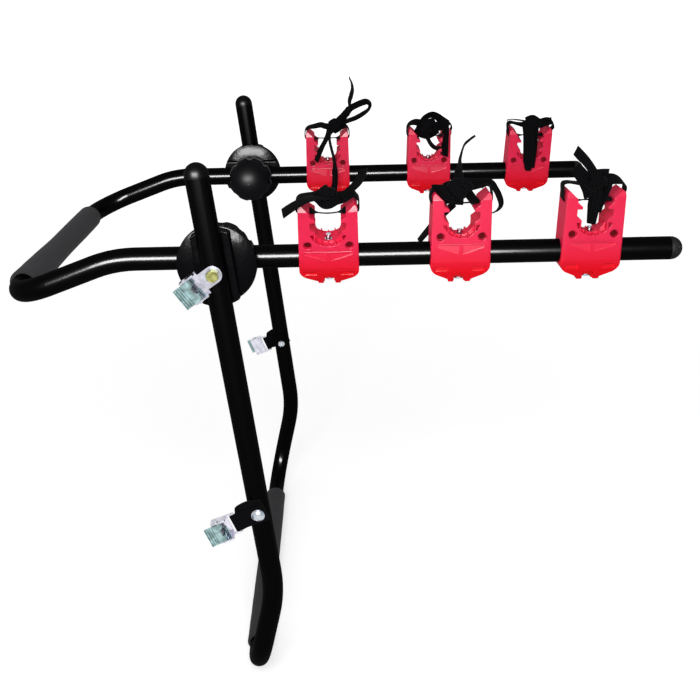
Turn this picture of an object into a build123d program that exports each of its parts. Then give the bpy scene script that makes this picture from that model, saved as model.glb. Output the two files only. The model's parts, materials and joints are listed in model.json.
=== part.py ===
from build123d import *
import os
from math import atan2, ceil, cos, degrees, pi, radians, sin, sqrt

# A folding rear-door carrier for three bicycles, in millimetres.
# The origin is the middle of the lower padded bar. X runs back along the two arms, away from the
# car, Y runs across the car and Z is up. Left is the side of minus Y, and right is its mirror image.

# Tubes
TUBE_OD = 28.0
TUBE_WALL = 1.8
TUBE_FIT = 0.1           # between a tube and the moulding or foam round it
SWING_GAP = 0.3          # between pieces that move past each other
PIVOT_FIT = 0.08         # radial clearance of a hole that turns on its bolt or pin
BOLT_FIT = 0.25          # radial clearance of a hole that only holds a bolt
OVERCUT = 1.0            # how far a cut runs past the surface that it opens

# The frame that stands against the car: two legs and the lower bar, bent from one tube
LEG_SPACING = 550.0
LEG_FOOT = 154.6         # lower bar to the bend
LEG_SHANK = 461.6        # bend to the hub
LEG_TOP = 124.5          # hub to the tip of the end cap
FOOT_LEAN = 13.0         # degrees from upright, towards plus X going up
SHANK_LEAN = 5.71        # degrees from upright, towards minus X going up
LEG_BEND_RADIUS = 218.5
LOWER_CORNER_RADIUS = 68.0

# The folding carrier: two arms, two short braces and the upper bar, bent from one tube
ARM_REACH = 556.0        # hub to the tip of the end cap
BRACE_LEVEL = 127.0      # hub to the bend
BRACE_DROP = 143.0       # bend to the upper bar
BRACE_SLOPE = 20.0       # degrees below level
BRACE_BEND_RADIUS = 150.0
UPPER_CORNER_RADIUS = 58.0

# Foam sleeves and end caps
FOAM_WALL = 4.0
LOWER_FOAM_LENGTH = 398.0
LOWER_FOAM_SHIFT = -7.0  # from the middle of the bar, towards the left
UPPER_FOAM_LENGTH = 330.0
FOAM_ROUND = 2.0
CAP_STEM = 22.0
CAP_STEM_FIT = 0.15
CAP_STEM_BORE = 0.6      # share of the stem's radius
CAP_LIP = 2.0

# Hub: a toothed disc on the leg, a toothed disc on the arm, one bolt and one knob on each side
HUB_STACK = 22.0         # leg surface to arm surface
DISC_OD = 94.0
DISC_RIM = 5.0           # thickness at the rim
DISC_CROWN = 9.5         # thickness where the saddle starts
DISC_CROWN_OD = 50.0
DISC_SWELL = 0.7         # share of the crown's rise that is reached half way in from the rim
SADDLE_WALL = 8.5        # rib beside the tube
SADDLE_DEPTH = 9.0       # how far the ribs reach past the tube's surface
SADDLE_INSET = 1.5       # ribs end this far inside the rim
SADDLE_ROUND = 2.0
TOOTH_COUNT = 40
TOOTH_GROOVE = 3.2
TOOTH_INNER_OD = 50.0
BOLT_OD = 8.0
HEX_HEIGHT = 5.3
HEX_ACROSS = 13.0
HEX_CORNER = 0.8         # share of a hexagon's height that its corners keep
WASHER_OD = 17.0
WASHER_T = 1.6
KNOB_WASHER_OD = 24.0

# Knob
KNOB_OD = 70.0
KNOB_FLANGE = 3.0
KNOB_DOME_OD = 66.0
KNOB_HEIGHT = 48.0
KNOB_LOBES = 8
KNOB_FLUTE_OD = 16.0
KNOB_FLUTE_DEPTH = 3.2
KNOB_RIM_WAVE = 2.4
INSERT_OD = 16.0
INSERT_LENGTH = 18.0
INSERT_FIT = 0.05
BOLT_END = 24.0          # how far the bolt reaches into the knob
BOLT_END_GAP = 2.0

# Cradles, each of two moulded halves clamped round the arm. They were clamped on by hand, so each
# has its own distance from the hub and its own lean about the arm, with the top towards minus Y.
CRADLE_SPOTS = {"left": (131.0, 287.0, 442.0), "right": (128.0, 295.0, 459.0)}
CRADLE_LEANS = {"left": (15.0, 0.0, 0.0), "right": (6.0, 3.0, 9.0)}
CRADLE_WIDTH = 72.0      # along the arm
CRADLE_DEPTH = 36.0      # across the arm
CRADLE_TOP = 76.0        # prong tips above the arm's centreline
CRADLE_TAPER = 2.0       # each side, from the flank to the tips
SHOULDER_Z = -7.0        # where the broad faces start to draw in
FLANK_Z = -20.0          # where the narrow sides would meet the belly
FLANK_ROUND = 15.0
BELLY_Z = -30.0
BOSS_WIDTH = 28.0
BOSS_Z = -33.5
BOSS_DRAFT = 1.0
BELLY_FOOT = 10.0        # seen along the arm: half width at the boss, at the arc's middle,
BELLY_SIDE = 14.0        # and how far that middle lies below the chord's
BELLY_SAG = 3.0
PLAN_ROUND = 3.0
TIP_CHAMFER = 3.5
TIP_SLOPE = 8.0
TIP_ROUND = 6.0          # outer corner of a prong's tip
PARTING_GAP = 0.2
NOTCH_FLOOR = 24.5
NOTCH_WIDTH = 30.0       # between the teeth
NOTCH_RISE = 13.5        # from the floor's middle to the first tooth
TOOTH_ROWS = 2
TOOTH_PITCH = 16.0
TOOTH_TIP = 3.0
TOOTH_BITE = 6.0
TOOTH_SLANT = 4.5
MOUTH_Z = 66.0           # where the notch starts to widen to its mouth
NOTCH_MOUTH = 63.0       # width between the tips
HOLLOW_FLOOR = 22.6      # the hollows at both faces, under the notch
HOLLOW_WIDTH = 43.0
HOLLOW_DEPTH = 9.0
HOLLOW_WEB = 1.6
HOLLOW_WEB_PITCH = 8.0
SHELL_SCREW_X = 24.5
SHELL_SCREW_Z = 24.3
SHELL_SCREW_OD = 4.0
DIMPLE_OD = 10.0
DIMPLE_DEPTH = 6.0
SHELL_HEAD_OD = 7.4
SHELL_HEAD_T = 2.8
SHELL_NUT_ACROSS = 7.0
SHELL_NUT_T = 3.2
CROSS_LENGTH = 5.0       # cross slot in a screw's head
CROSS_WIDTH = 1.0
CROSS_DEPTH = 1.0
CLAMP_BOLT_OD = 6.0
CLAMP_HEAD_OD = 11.0
CLAMP_HEAD_T = 3.6
CLAMP_HEAD_RECESS = 4.6
ARCH_WIDTH = 14.0         # the arch in each face that shows the bolt's head
ARCH_TOP = -22.0
CLAMP_HEAD_ROUND = 2.1
SOCKET_ACROSS = 5.0
SOCKET_DEPTH = 1.8
CLAMP_BOLT_TOP = 29.5
CLAMP_NUT_ACROSS = 10.0
CLAMP_NUT_T = 5.0
CLAMP_NUT_SEAT = 18.6
NUT_POCKET_FIT = 0.2
STRAP_SLOT_Z = 62.0
STRAP_SLOT_HEIGHT = 4.0
STRAP_SLOT_FIT = 1.0     # each side of the webbing
WING_TOP = 14.0
WING_TIP = 11.5
WING_BOTTOM = 2.8
WING_INNER = 2.2
WING_OUTER = 28.0
PANEL_DEPTH = 1.4
CREASE_Z = 15.8
CREASE_LENGTH = 54.0
CREASE_HEIGHT = 0.9
CREASE_DEPTH = 0.6
POCKET_WIDTH = 15.0
POCKET_HEIGHT = 6.0
POCKET_X = 22.0
POCKET_Z = -15.5
POCKET_DEPTH = 3.4

# Webbing that ties a bicycle down in its cradle
STRAP_WIDTH = 16.0
STRAP_T = 1.5
STRAP_GAP = 0.8          # between the webbing and the prong that it goes round
KNOT_SIZE = (24.0, 16.0, 15.0)
KNOT_ROUND = 4.0
STRAP_STAND_OFF = 6.0    # loose runs hang this far from the faces
KNOT_SINK = 1.0          # the knot is pulled this far down over the webbing

# Cam buckles
BUCKLE_WIDTH = 31.0
PLATE_T = 2.0
EAR_WIDTH = 21.0
EAR_REACH = 14.5         # bolt to the upper buckle's body
TAB_REACH = 28.5         # bolt to the lower buckle's body
BUCKLE_LENGTH = 21.0
FLANGE_HEIGHT = 13.0
FLANGE_START = 1.0
FLANGE_ROUND = 3.0
CAM_PIN_X = 14.0         # from the start of the body
CAM_PIN_Z = 9.0          # from the back of the plate
CAM_PIN_OD = 4.0
CAM_PIN_HEAD_OD = 6.4
CAM_PIN_HEAD_T = 1.2
CAM_BARREL_OD = 10.4
CAM_NOSE_OD = 13.0
CAM_NOSE_SPAN = (215.0, 305.0)
CAM_TEETH = 4
LEVER_REACH = 17.0
LEVER_T = 2.6
LEVER_LIFT = 9.0         # degrees, at rest
LEVER_RIB = 1.1
LEVER_RIBS = 4
LEVER_RIB_WIDTH = 0.8    # share of a rib's pitch
LEVER_SIDE_GAP = 0.4
SPRING_BAY = 9.6         # free width in the middle of the cam
SPRING_WIRE = 0.8
SPRING_COIL_OD = 7.2
SPRING_TURNS = 4.5
SPRING_PITCH = 1.45
SPRING_LEG = 2.2
UPPER_DROP = 34.5        # degrees below level, towards the car
LOWER_DROP = 21.0
SLOT_LENGTH = 4.6
BAR_LENGTH = 5.0
SLOT_SIDE = 2.4          # metal left beside the slot

# Lower buckle's webbing tab and its bolt through the leg
LOWER_BOLT_DROP = 324.4  # along the leg, below the hub
TAB_WIDTH = 25.0
TAB_PLY = 1.5
TAB_FIT = 0.3            # between the webbing and the bar that it goes round
TAB_END = 11.0           # past the bolt
DOME_HEAD_OD = 15.0
DOME_HEAD_T = 5.0
DOME_NUT_OD = 12.0
DOME_NUT_T = 6.5
DOME_NUT_BORE = 3.9
DOME_EDGE = 0.25         # share of a dome's height that is upright

# Places worked out from the sizes above
TUBE_R = TUBE_OD / 2
CAP_HEIGHT = CAP_LIP + TUBE_R
LEG_Y = LEG_SPACING / 2
ARM_Y = LEG_Y - TUBE_OD - HUB_STACK
SEAM_Y = LEG_Y - TUBE_R - HUB_STACK / 2
FOOT_UP = Vector(sin(radians(FOOT_LEAN)), 0, cos(radians(FOOT_LEAN)))
SHANK_UP = Vector(-sin(radians(SHANK_LEAN)), 0, cos(radians(SHANK_LEAN)))
BEND_POINT = FOOT_UP * LEG_FOOT
HUB = BEND_POINT + SHANK_UP * LEG_SHANK
BRACE_BEND = HUB - Vector(BRACE_LEVEL, 0, 0)
BRACE_DOWN = Vector(-cos(radians(BRACE_SLOPE)), 0, -sin(radians(BRACE_SLOPE)))
UPPER_BAR = BRACE_BEND + BRACE_DOWN * BRACE_DROP
LOWER_BOLT = HUB - SHANK_UP * LOWER_BOLT_DROP
OUTER_Y = LEG_Y + TUBE_R + SWING_GAP
KNOB_WASHER_Y = ARM_Y - TUBE_R - SWING_GAP
KNOB_Y = KNOB_WASHER_Y - WASHER_T - SWING_GAP
PLATE_LIFT = TAB_PLY + TAB_FIT
UPPER_WAY = (-cos(radians(UPPER_DROP)), 0, -sin(radians(UPPER_DROP)))
LOWER_WAY = (-cos(radians(LOWER_DROP)), 0, -sin(radians(LOWER_DROP)))
SIDES = {"left": -1, "right": 1}

OUTWARD = (0, -1, 0)
INWARD = (0, 1, 0)


def on_left(spot, y, x_dir=(1, 0, 0), z_dir=OUTWARD):
    """A plane on the left side at the X and Z of spot, y from the middle, facing outward."""
    return Plane(origin=(spot.X, -y, spot.Z), x_dir=x_dir, z_dir=z_dir)


def rod(diameter, start, end):
    """A round bar along the local Z axis from start to end."""
    bar = Cylinder(diameter / 2, abs(end - start), align=(Align.CENTER, Align.CENTER, Align.MIN))
    return Pos(0, 0, min(start, end)) * bar


def across(diameter, spot, y_from, y_to):
    """A round bar along Y on the left side, between two distances from the middle."""
    return on_left(spot, 0) * rod(diameter, y_from, y_to)


def washer(outer, inner, thickness):
    """A flat ring that stands on the local XY plane."""
    return rod(outer, 0, thickness) - rod(inner, -OVERCUT, thickness + OVERCUT)


def cap(diameter, height):
    """A piece of a ball that stands on the local XY plane, as wide and as high as given."""
    ball = ((diameter / 2) ** 2 + height**2) / (2 * height)
    return Pos(0, 0, height - ball) * Sphere(ball) & rod(diameter, 0, height)


def dome(diameter, height):
    """A low dome with an upright edge, standing on the local XY plane."""
    edge = height * DOME_EDGE
    return rod(diameter, 0, edge) + Pos(0, 0, edge) * cap(diameter, height - edge)


def hexagon(width, height):
    """A hexagonal prism that stands on the local XY plane, with its corners turned down."""
    prism = extrude(RegularPolygon(width / 2, 6, major_radius=False), height)
    corner = width / sqrt(3)
    shoulder = height * HEX_CORNER
    profile = Polygon((0, 0), (corner, 0), (corner, shoulder), (width / 2, height), (0, height), align=None)
    return prism & revolve(Plane.XZ * profile, Axis.Z)


def mirrored(left):
    """The same piece on the right side."""
    return mirror(left, about=Plane.XZ)


def cradle_place(side, i):
    """The place and lean of one cradle on its arm, counted from the hub."""
    x = HUB.X + CRADLE_SPOTS[side][i]
    return Pos(x, SIDES[side] * ARM_Y, HUB.Z) * Rot(CRADLE_LEANS[side][i], 0, 0)


def on_itself(piece):
    """The same piece on the same side."""
    return piece


def bent_tube(points, radii):
    """A hollow round tube along straight runs joined by arcs."""
    path = FilletPolyline(*points, radius=radii)
    ring = Circle(TUBE_R) - Circle(TUBE_R - TUBE_WALL)
    return sweep(Plane(origin=path @ 0, z_dir=path % 0) * ring, path=path)


def end_cap():
    """A domed plug whose lip stands on the local XY plane, with its stem below."""
    crown = Pos(0, 0, CAP_LIP) * (Sphere(TUBE_R) & rod(TUBE_OD, 0, TUBE_OD))
    stem_od = TUBE_OD - 2 * TUBE_WALL - 2 * CAP_STEM_FIT
    stem = rod(stem_od, -CAP_STEM, 0) - rod(stem_od * CAP_STEM_BORE, -CAP_STEM, 0)
    return rod(TUBE_OD, 0, CAP_LIP) + crown + stem


def frame_tube():
    """Both legs and the lower bar, with the holes for the hub bolts and the lower bolts."""
    top = HUB + SHANK_UP * (LEG_TOP - CAP_HEIGHT)
    side = Vector(0, LEG_Y, 0)
    points = [top - side, BEND_POINT - side, Vector(0, 0, 0) - side, side, BEND_POINT + side, top + side]
    radii = [LEG_BEND_RADIUS, LOWER_CORNER_RADIUS, LOWER_CORNER_RADIUS, LEG_BEND_RADIUS]
    tube = bent_tube(points, radii)
    hole = BOLT_OD + 2 * BOLT_FIT
    for spot in (HUB, LOWER_BOLT):
        cut = across(hole, spot, LEG_Y - TUBE_OD, LEG_Y + TUBE_OD)
        tube = tube - cut - mirrored(cut)
    return tube


def carrier_tube():
    """Both arms, the braces and the upper bar, with the holes for the hub and cradle bolts."""
    tip = HUB + Vector(ARM_REACH - CAP_HEIGHT, 0, 0)
    side = Vector(0, ARM_Y, 0)
    corners = [tip, BRACE_BEND, UPPER_BAR]
    points = [corner - side for corner in corners] + [corner + side for corner in reversed(corners)]
    radii = [BRACE_BEND_RADIUS, UPPER_CORNER_RADIUS, UPPER_CORNER_RADIUS, BRACE_BEND_RADIUS]
    tube = bent_tube(points, radii)
    pivot = across(BOLT_OD + 2 * PIVOT_FIT, HUB, ARM_Y - TUBE_OD, ARM_Y + TUBE_OD)
    tube = tube - pivot - mirrored(pivot)
    for side, spots in CRADLE_SPOTS.items():
        for i in range(len(spots)):
            tube -= cradle_place(side, i) * rod(CLAMP_BOLT_OD + 2 * BOLT_FIT, -TUBE_OD, TUBE_OD)
    return tube


def leg_caps():
    """The two plugs in the tops of the legs."""
    top = HUB + SHANK_UP * (LEG_TOP - CAP_HEIGHT)
    left = Plane(origin=(top.X, -LEG_Y, top.Z), x_dir=INWARD, z_dir=SHANK_UP) * end_cap()
    return [left, mirrored(left)]


def arm_caps():
    """The two plugs in the ends of the arms."""
    tip = HUB + Vector(ARM_REACH - CAP_HEIGHT, 0, 0)
    left = Plane(origin=(tip.X, -ARM_Y, tip.Z), x_dir=INWARD, z_dir=(1, 0, 0)) * end_cap()
    return [left, mirrored(left)]


def foam_sleeve(spot, length):
    """A foam sleeve on a cross bar, with rounded ends."""
    bore = TUBE_OD + 2 * TUBE_FIT
    outer = bore + 2 * FOAM_WALL
    sleeve = rod(outer, -length / 2, length / 2) - rod(bore, -length, length)
    circles = sleeve.edges().filter_by(GeomType.CIRCLE)
    ends = circles.filter_by(lambda edge: edge.radius > (outer + bore) / 4)
    return Plane(origin=spot, x_dir=(1, 0, 0), z_dir=INWARD) * fillet(ends, FOAM_ROUND)


def hub_disc(hole):
    """One toothed disc: teeth on the local XY plane, a saddle for a tube along local X above."""
    rim = DISC_OD / 2
    crown = DISC_CROWN_OD / 2
    start = SWING_GAP / 2
    flat = Polyline((crown, DISC_CROWN), (0, DISC_CROWN), (0, start), (rim, start), (rim, DISC_RIM))
    swell = ((rim + crown) / 2, DISC_RIM + (DISC_CROWN - DISC_RIM) * DISC_SWELL)
    rise = ThreePointArc((rim, DISC_RIM), swell, (crown, DISC_CROWN))
    disc = revolve(Plane.XZ * make_face([flat, rise]), Axis.Z)
    width = TUBE_OD + 2 * SADDLE_WALL
    top = HUB_STACK / 2 + SADDLE_DEPTH
    block = Pos(0, start) * Rectangle(width, top - start, align=(Align.CENTER, Align.MIN))
    ribs = extrude(Plane.YZ * block, rim, both=True)
    ribs = fillet(ribs.edges().filter_by(Axis.X).group_by(Axis.Z)[-1], SADDLE_ROUND)
    disc += ribs & rod(DISC_OD - 2 * SADDLE_INSET, start, top)
    tube_axis = HUB_STACK / 2 + TUBE_R
    disc -= Plane(origin=(0, 0, tube_axis), z_dir=(1, 0, 0)) * rod(TUBE_OD + 2 * TUBE_FIT, -rim, rim)
    inner = TOOTH_INNER_OD / 2
    side = TOOTH_GROOVE / sqrt(2)
    groove = Pos(inner, 0, start) * Rot(45, 0, 0) * Box(
        rim - inner + OVERCUT, side, side, align=(Align.MIN, Align.CENTER, Align.CENTER)
    )
    return disc - PolarLocations(0, TOOTH_COUNT) * groove - rod(hole, -OVERCUT, top)


def outer_disc():
    """The disc that sits on the leg."""
    return on_left(HUB, SEAM_Y, SHANK_UP) * hub_disc(BOLT_OD + 2 * BOLT_FIT)


def inner_disc():
    """The disc that sits on the arm and turns with it."""
    return on_left(HUB, SEAM_Y, (1, 0, 0), INWARD) * hub_disc(BOLT_OD + 2 * PIVOT_FIT)


def knob():
    """A domed hand knob with lobes; it stands on the local XY plane."""
    flange = rod(KNOB_OD, 0, KNOB_FLANGE)
    wave = KNOB_OD / 2 + KNOB_FLUTE_OD / 2 - KNOB_RIM_WAVE
    flange -= PolarLocations(wave, KNOB_LOBES) * rod(KNOB_FLUTE_OD, -OVERCUT, KNOB_FLANGE + OVERCUT)
    grip = Pos(0, 0, KNOB_FLANGE) * cap(KNOB_DOME_OD, KNOB_HEIGHT - KNOB_FLANGE)
    flute = KNOB_DOME_OD / 2 + KNOB_FLUTE_OD / 2 - KNOB_FLUTE_DEPTH
    grip -= PolarLocations(flute, KNOB_LOBES) * rod(KNOB_FLUTE_OD, KNOB_FLANGE, KNOB_HEIGHT)
    pocket = rod(INSERT_OD + 2 * INSERT_FIT, -OVERCUT, INSERT_LENGTH)
    relief = rod(BOLT_OD + 2 * BOLT_FIT, 0, BOLT_END + BOLT_END_GAP)
    return flange + grip - pocket - relief


def knob_insert():
    """The threaded metal bush in the knob, drawn with a plain bore that turns on the bolt."""
    return washer(INSERT_OD, BOLT_OD + 2 * PIVOT_FIT, INSERT_LENGTH)


def hub_bolt():
    """The bolt through leg, discs, arm and knob, with its hexagon head outside the leg."""
    head_y = OUTER_Y + PLATE_T + SWING_GAP + WASHER_T
    shank = across(BOLT_OD, HUB, KNOB_Y - BOLT_END, head_y)
    return shank + on_left(HUB, head_y, SHANK_UP) * hexagon(HEX_ACROSS, HEX_HEIGHT)


def hub_washers():
    """The washer under the bolt's head and the one between arm and knob."""
    hole = BOLT_OD + 2 * BOLT_FIT
    head = on_left(HUB, OUTER_Y + PLATE_T + SWING_GAP) * washer(WASHER_OD, hole, WASHER_T)
    knob_side = on_left(HUB, KNOB_WASHER_Y - WASHER_T) * washer(KNOB_WASHER_OD, hole, WASHER_T)
    return [head, knob_side]


def notch_outline():
    """The opening between the prongs: a round floor, hooked teeth and a wide mouth."""
    half = NOTCH_WIDTH / 2
    back = half + TOOTH_BITE
    foot = NOTCH_FLOOR + NOTCH_RISE
    side = []
    for row in range(TOOTH_ROWS):
        z = foot + row * TOOTH_PITCH
        next_z = min(z + TOOTH_PITCH, MOUTH_Z)
        side += [(half, z), (half, z + TOOTH_TIP), (back, z + TOOTH_TIP + TOOTH_SLANT), (back, next_z)]
    over = CRADLE_TOP + OVERCUT
    side += [(NOTCH_MOUTH / 2, CRADLE_TOP), (NOTCH_MOUTH / 2, over)]
    left = [(-x, z) for x, z in side]
    floor = ThreePointArc(left[0], (0, NOTCH_FLOOR), side[0])
    return make_face([floor, Polyline(*side, *reversed(left))])


def hollow_outline():
    """The hollows that show under the notch in each face, with the webs that are left in them."""
    half = HOLLOW_WIDTH / 2
    foot = NOTCH_FLOOR + NOTCH_RISE
    floor = ThreePointArc((-half, foot), (0, HOLLOW_FLOOR), (half, foot))
    hollow = make_face([floor, Line((half, foot), (-half, foot))])
    webs = 2 * int(half // HOLLOW_WEB_PITCH) + 1
    return hollow - GridLocations(HOLLOW_WEB_PITCH, 1, webs, 1) * Rectangle(HOLLOW_WEB, 2 * CRADLE_TOP)


def cradle_outline():
    """The front view of a cradle without its notch."""
    half = CRADLE_WIDTH / 2
    boss = BOSS_WIDTH / 2
    corners = [
        (half, FLANK_Z),
        (half - CRADLE_TAPER, CRADLE_TOP),
        (CRADLE_TAPER - half, CRADLE_TOP),
        (-half, FLANK_Z),
        (-boss, BELLY_Z),
        (BOSS_DRAFT - boss, BOSS_Z),
        (boss - BOSS_DRAFT, BOSS_Z),
        (boss, BELLY_Z),
    ]
    outline = Polygon(*corners, align=None)
    flanks = outline.vertices().filter_by_position(Axis.Y, FLANK_Z - OVERCUT, FLANK_Z + OVERCUT)
    outline = fillet(flanks, FLANK_ROUND)
    return fillet(outline.vertices().group_by(Axis.Y)[-1], TIP_ROUND)


def cradle_side():
    """The side view of a cradle: upright walls, tips that narrow and a belly that draws in."""
    half = CRADLE_DEPTH / 2
    walls = Polyline(
        (half, SHOULDER_Z),
        (half, CRADLE_TOP - TIP_SLOPE),
        (half - TIP_CHAMFER, CRADLE_TOP),
        (TIP_CHAMFER - half, CRADLE_TOP),
        (-half, CRADLE_TOP - TIP_SLOPE),
        (-half, SHOULDER_Z),
    )
    middle_z = (SHOULDER_Z + BOSS_Z) / 2 - BELLY_SAG
    right = ThreePointArc((BELLY_FOOT, BOSS_Z), (BELLY_SIDE, middle_z), (half, SHOULDER_Z))
    left = ThreePointArc((-half, SHOULDER_Z), (-BELLY_SIDE, middle_z), (-BELLY_FOOT, BOSS_Z))
    return make_face([walls, left, Line((-BELLY_FOOT, BOSS_Z), (BELLY_FOOT, BOSS_Z)), right])


def face_details():
    """What is sunk into the two broad faces: hollows, a crease, slanted wings, pockets, an arch."""
    half = CRADLE_DEPTH / 2
    depth = Polygon(
        (half + OVERCUT, WING_BOTTOM),
        (half, WING_BOTTOM),
        (half - PANEL_DEPTH, WING_TOP),
        (half + OVERCUT, WING_TOP),
        align=None,
    )
    slant = extrude(Plane.YZ * depth, CRADLE_WIDTH, both=True)
    slant += mirrored(slant)
    cuts = []
    for side in (-1, 1):
        wing = Polygon(
            (side * WING_INNER, WING_BOTTOM),
            (side * WING_INNER, WING_TOP),
            (side * WING_OUTER, WING_TOP),
            (side * WING_OUTER, WING_TIP),
            align=None,
        )
        cuts.append(extrude(Plane.XZ * wing, CRADLE_DEPTH, both=True) & slant)
    hollow = extrude(Plane.XZ * hollow_outline(), HOLLOW_DEPTH, both=True)
    arch_r = ARCH_WIDTH / 2
    arch = Pos(0, ARCH_TOP - arch_r) * Circle(arch_r)
    arch += Pos(0, ARCH_TOP - arch_r) * Rectangle(ARCH_WIDTH, CRADLE_TOP, align=(Align.CENTER, Align.MAX))
    arch_depth = half - CLAMP_HEAD_OD / 2 - BOLT_FIT
    arch = extrude(Plane.XZ * arch, arch_depth, both=True)
    for face in (-half, half):
        cuts.append(Pos(0, face, 0) * hollow)
        cuts.append(Pos(0, face, CREASE_Z) * Box(CREASE_LENGTH, 2 * CREASE_DEPTH, CREASE_HEIGHT))
        cuts.append(Pos(0, face, 0) * arch)
        for x in (-POCKET_X, POCKET_X):
            cuts.append(Pos(x, face, POCKET_Z) * Box(POCKET_WIDTH, 2 * POCKET_DEPTH, POCKET_HEIGHT))
    below = (Align.CENTER, Align.CENTER, Align.MAX)
    tunnel = Box(CLAMP_HEAD_OD + 2 * BOLT_FIT, CRADLE_DEPTH, CLAMP_HEAD_RECESS + OVERCUT, align=below)
    cuts.append(Pos(0, 0, BOSS_Z + CLAMP_HEAD_RECESS) * tunnel)
    return cuts


def cradle_blank():
    """A whole cradle round an arm along X through the origin, before it is parted."""
    plan = RectangleRounded(CRADLE_WIDTH, CRADLE_DEPTH, PLAN_ROUND)
    body = extrude(Plane.XZ * cradle_outline(), CRADLE_DEPTH, both=True)
    body &= extrude(Plane.YZ * cradle_side(), CRADLE_WIDTH, both=True)
    body &= extrude(plan, 2 * CRADLE_TOP, both=True)
    body -= extrude(Plane.XZ * notch_outline(), CRADLE_DEPTH, both=True)
    body -= Plane.YZ * rod(TUBE_OD + 2 * TUBE_FIT, -CRADLE_WIDTH, CRADLE_WIDTH)
    body -= rod(CLAMP_BOLT_OD + 2 * BOLT_FIT, BOSS_Z - OVERCUT, CRADLE_TOP)
    pocket = RegularPolygon(CLAMP_NUT_ACROSS / 2 + NUT_POCKET_FIT, 6, major_radius=False)
    body -= Pos(0, 0, CLAMP_NUT_SEAT) * extrude(pocket, CRADLE_TOP - CLAMP_NUT_SEAT)
    for x in (-SHELL_SCREW_X, SHELL_SCREW_X):
        line = Plane(origin=(x, 0, SHELL_SCREW_Z), x_dir=(1, 0, 0), z_dir=OUTWARD)
        half = CRADLE_DEPTH / 2
        body -= line * rod(SHELL_SCREW_OD + 2 * BOLT_FIT, -half, half)
        for start in (-half - OVERCUT, half - DIMPLE_DEPTH):
            body -= line * rod(DIMPLE_OD, start, start + DIMPLE_DEPTH + OVERCUT)
    slot_length = CRADLE_WIDTH / 2
    for side in (-1, 1):
        middle = side * (NOTCH_WIDTH / 2 + slot_length / 2)
        slot = Box(slot_length, STRAP_WIDTH + 2 * STRAP_SLOT_FIT, STRAP_SLOT_HEIGHT)
        body -= Pos(middle, 0, STRAP_SLOT_Z) * slot
    for cut in face_details():
        body -= cut
    return body


def cradle_halves():
    """The outboard and inboard halves of a cradle, parted along the arm."""
    whole = cradle_blank()
    keep = Box(2 * CRADLE_WIDTH, CRADLE_DEPTH, 4 * CRADLE_TOP)
    shift = (CRADLE_DEPTH + PARTING_GAP) / 2
    return whole & Pos(0, -shift, 0) * keep, whole & Pos(0, shift, 0) * keep


def clamp_bolt():
    """The bolt that goes up through the cradle and the arm, with its dome head below."""
    seat = BOSS_Z + CLAMP_HEAD_RECESS
    head = rod(CLAMP_HEAD_OD, seat - CLAMP_HEAD_T, seat)
    head = fillet(head.edges().group_by(Axis.Z)[0], CLAMP_HEAD_ROUND)
    socket = extrude(RegularPolygon(SOCKET_ACROSS / 2, 6, major_radius=False), SOCKET_DEPTH)
    return head - Pos(0, 0, seat - CLAMP_HEAD_T) * socket + rod(CLAMP_BOLT_OD, seat, CLAMP_BOLT_TOP)


def clamp_nut():
    """The nut in the floor of the notch."""
    bore = rod(CLAMP_BOLT_OD, -OVERCUT, CLAMP_NUT_T + OVERCUT)
    return Pos(0, 0, CLAMP_NUT_SEAT) * (hexagon(CLAMP_NUT_ACROSS, CLAMP_NUT_T) - bore)


def shell_screws():
    """The two screws that hold a cradle's halves together, heads outboard."""
    seat = CRADLE_DEPTH / 2 - DIMPLE_DEPTH
    screws = []
    for x in (-SHELL_SCREW_X, SHELL_SCREW_X):
        line = Plane(origin=(x, 0, SHELL_SCREW_Z), x_dir=(1, 0, 0), z_dir=OUTWARD)
        head = rod(SHELL_HEAD_OD, seat, seat + SHELL_HEAD_T)
        bar = Box(CROSS_LENGTH, CROSS_WIDTH, 2 * CROSS_DEPTH)
        head -= Pos(0, 0, seat + SHELL_HEAD_T) * (bar + Rot(0, 0, 90) * bar)
        screws.append(line * (head + rod(SHELL_SCREW_OD, -seat - SHELL_NUT_T, seat)))
    return screws


def shell_nuts():
    """The nuts of those screws, inboard."""
    seat = CRADLE_DEPTH / 2 - DIMPLE_DEPTH
    nut = hexagon(SHELL_NUT_ACROSS, SHELL_NUT_T) - rod(SHELL_SCREW_OD, -OVERCUT, SHELL_NUT_T + OVERCUT)
    nuts = []
    for x in (-SHELL_SCREW_X, SHELL_SCREW_X):
        nuts.append(Plane(origin=(x, seat, SHELL_SCREW_Z), x_dir=(1, 0, 0), z_dir=INWARD) * nut)
    return nuts


def band(points, height, span, y):
    """A strip along points of (x, z), high in the front view and wide across, centred on y."""
    strip = None
    for (x0, z0), (x1, z1) in zip(points, points[1:]):
        run = sqrt((x1 - x0) ** 2 + (z1 - z0) ** 2)
        turn = degrees(atan2(z1 - z0, x1 - x0))
        piece = Pos((x0 + x1) / 2, (z0 + z1) / 2) * Rot(0, 0, turn) * Rectangle(run, height)
        strip = piece if strip is None else strip + piece
    for x, z in points[1:-1]:
        strip += Pos(x, z) * Circle(height / 2)
    return Pos(0, y, 0) * extrude(Plane.XZ * strip, span / 2, both=True)


def strap_loop():
    """The webbing through both slots and over both prong tips, as one closed band."""
    low = STRAP_SLOT_Z + STRAP_T / 2 + STRAP_GAP
    above = Pos(0, low) * Rectangle(2 * CRADLE_WIDTH, CRADLE_TOP, align=(Align.CENTER, Align.MIN))
    inner = offset(cradle_outline() & above, STRAP_GAP)
    return extrude(Plane.XZ * (offset(inner, STRAP_T) - inner), STRAP_WIDTH / 2, both=True)


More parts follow.
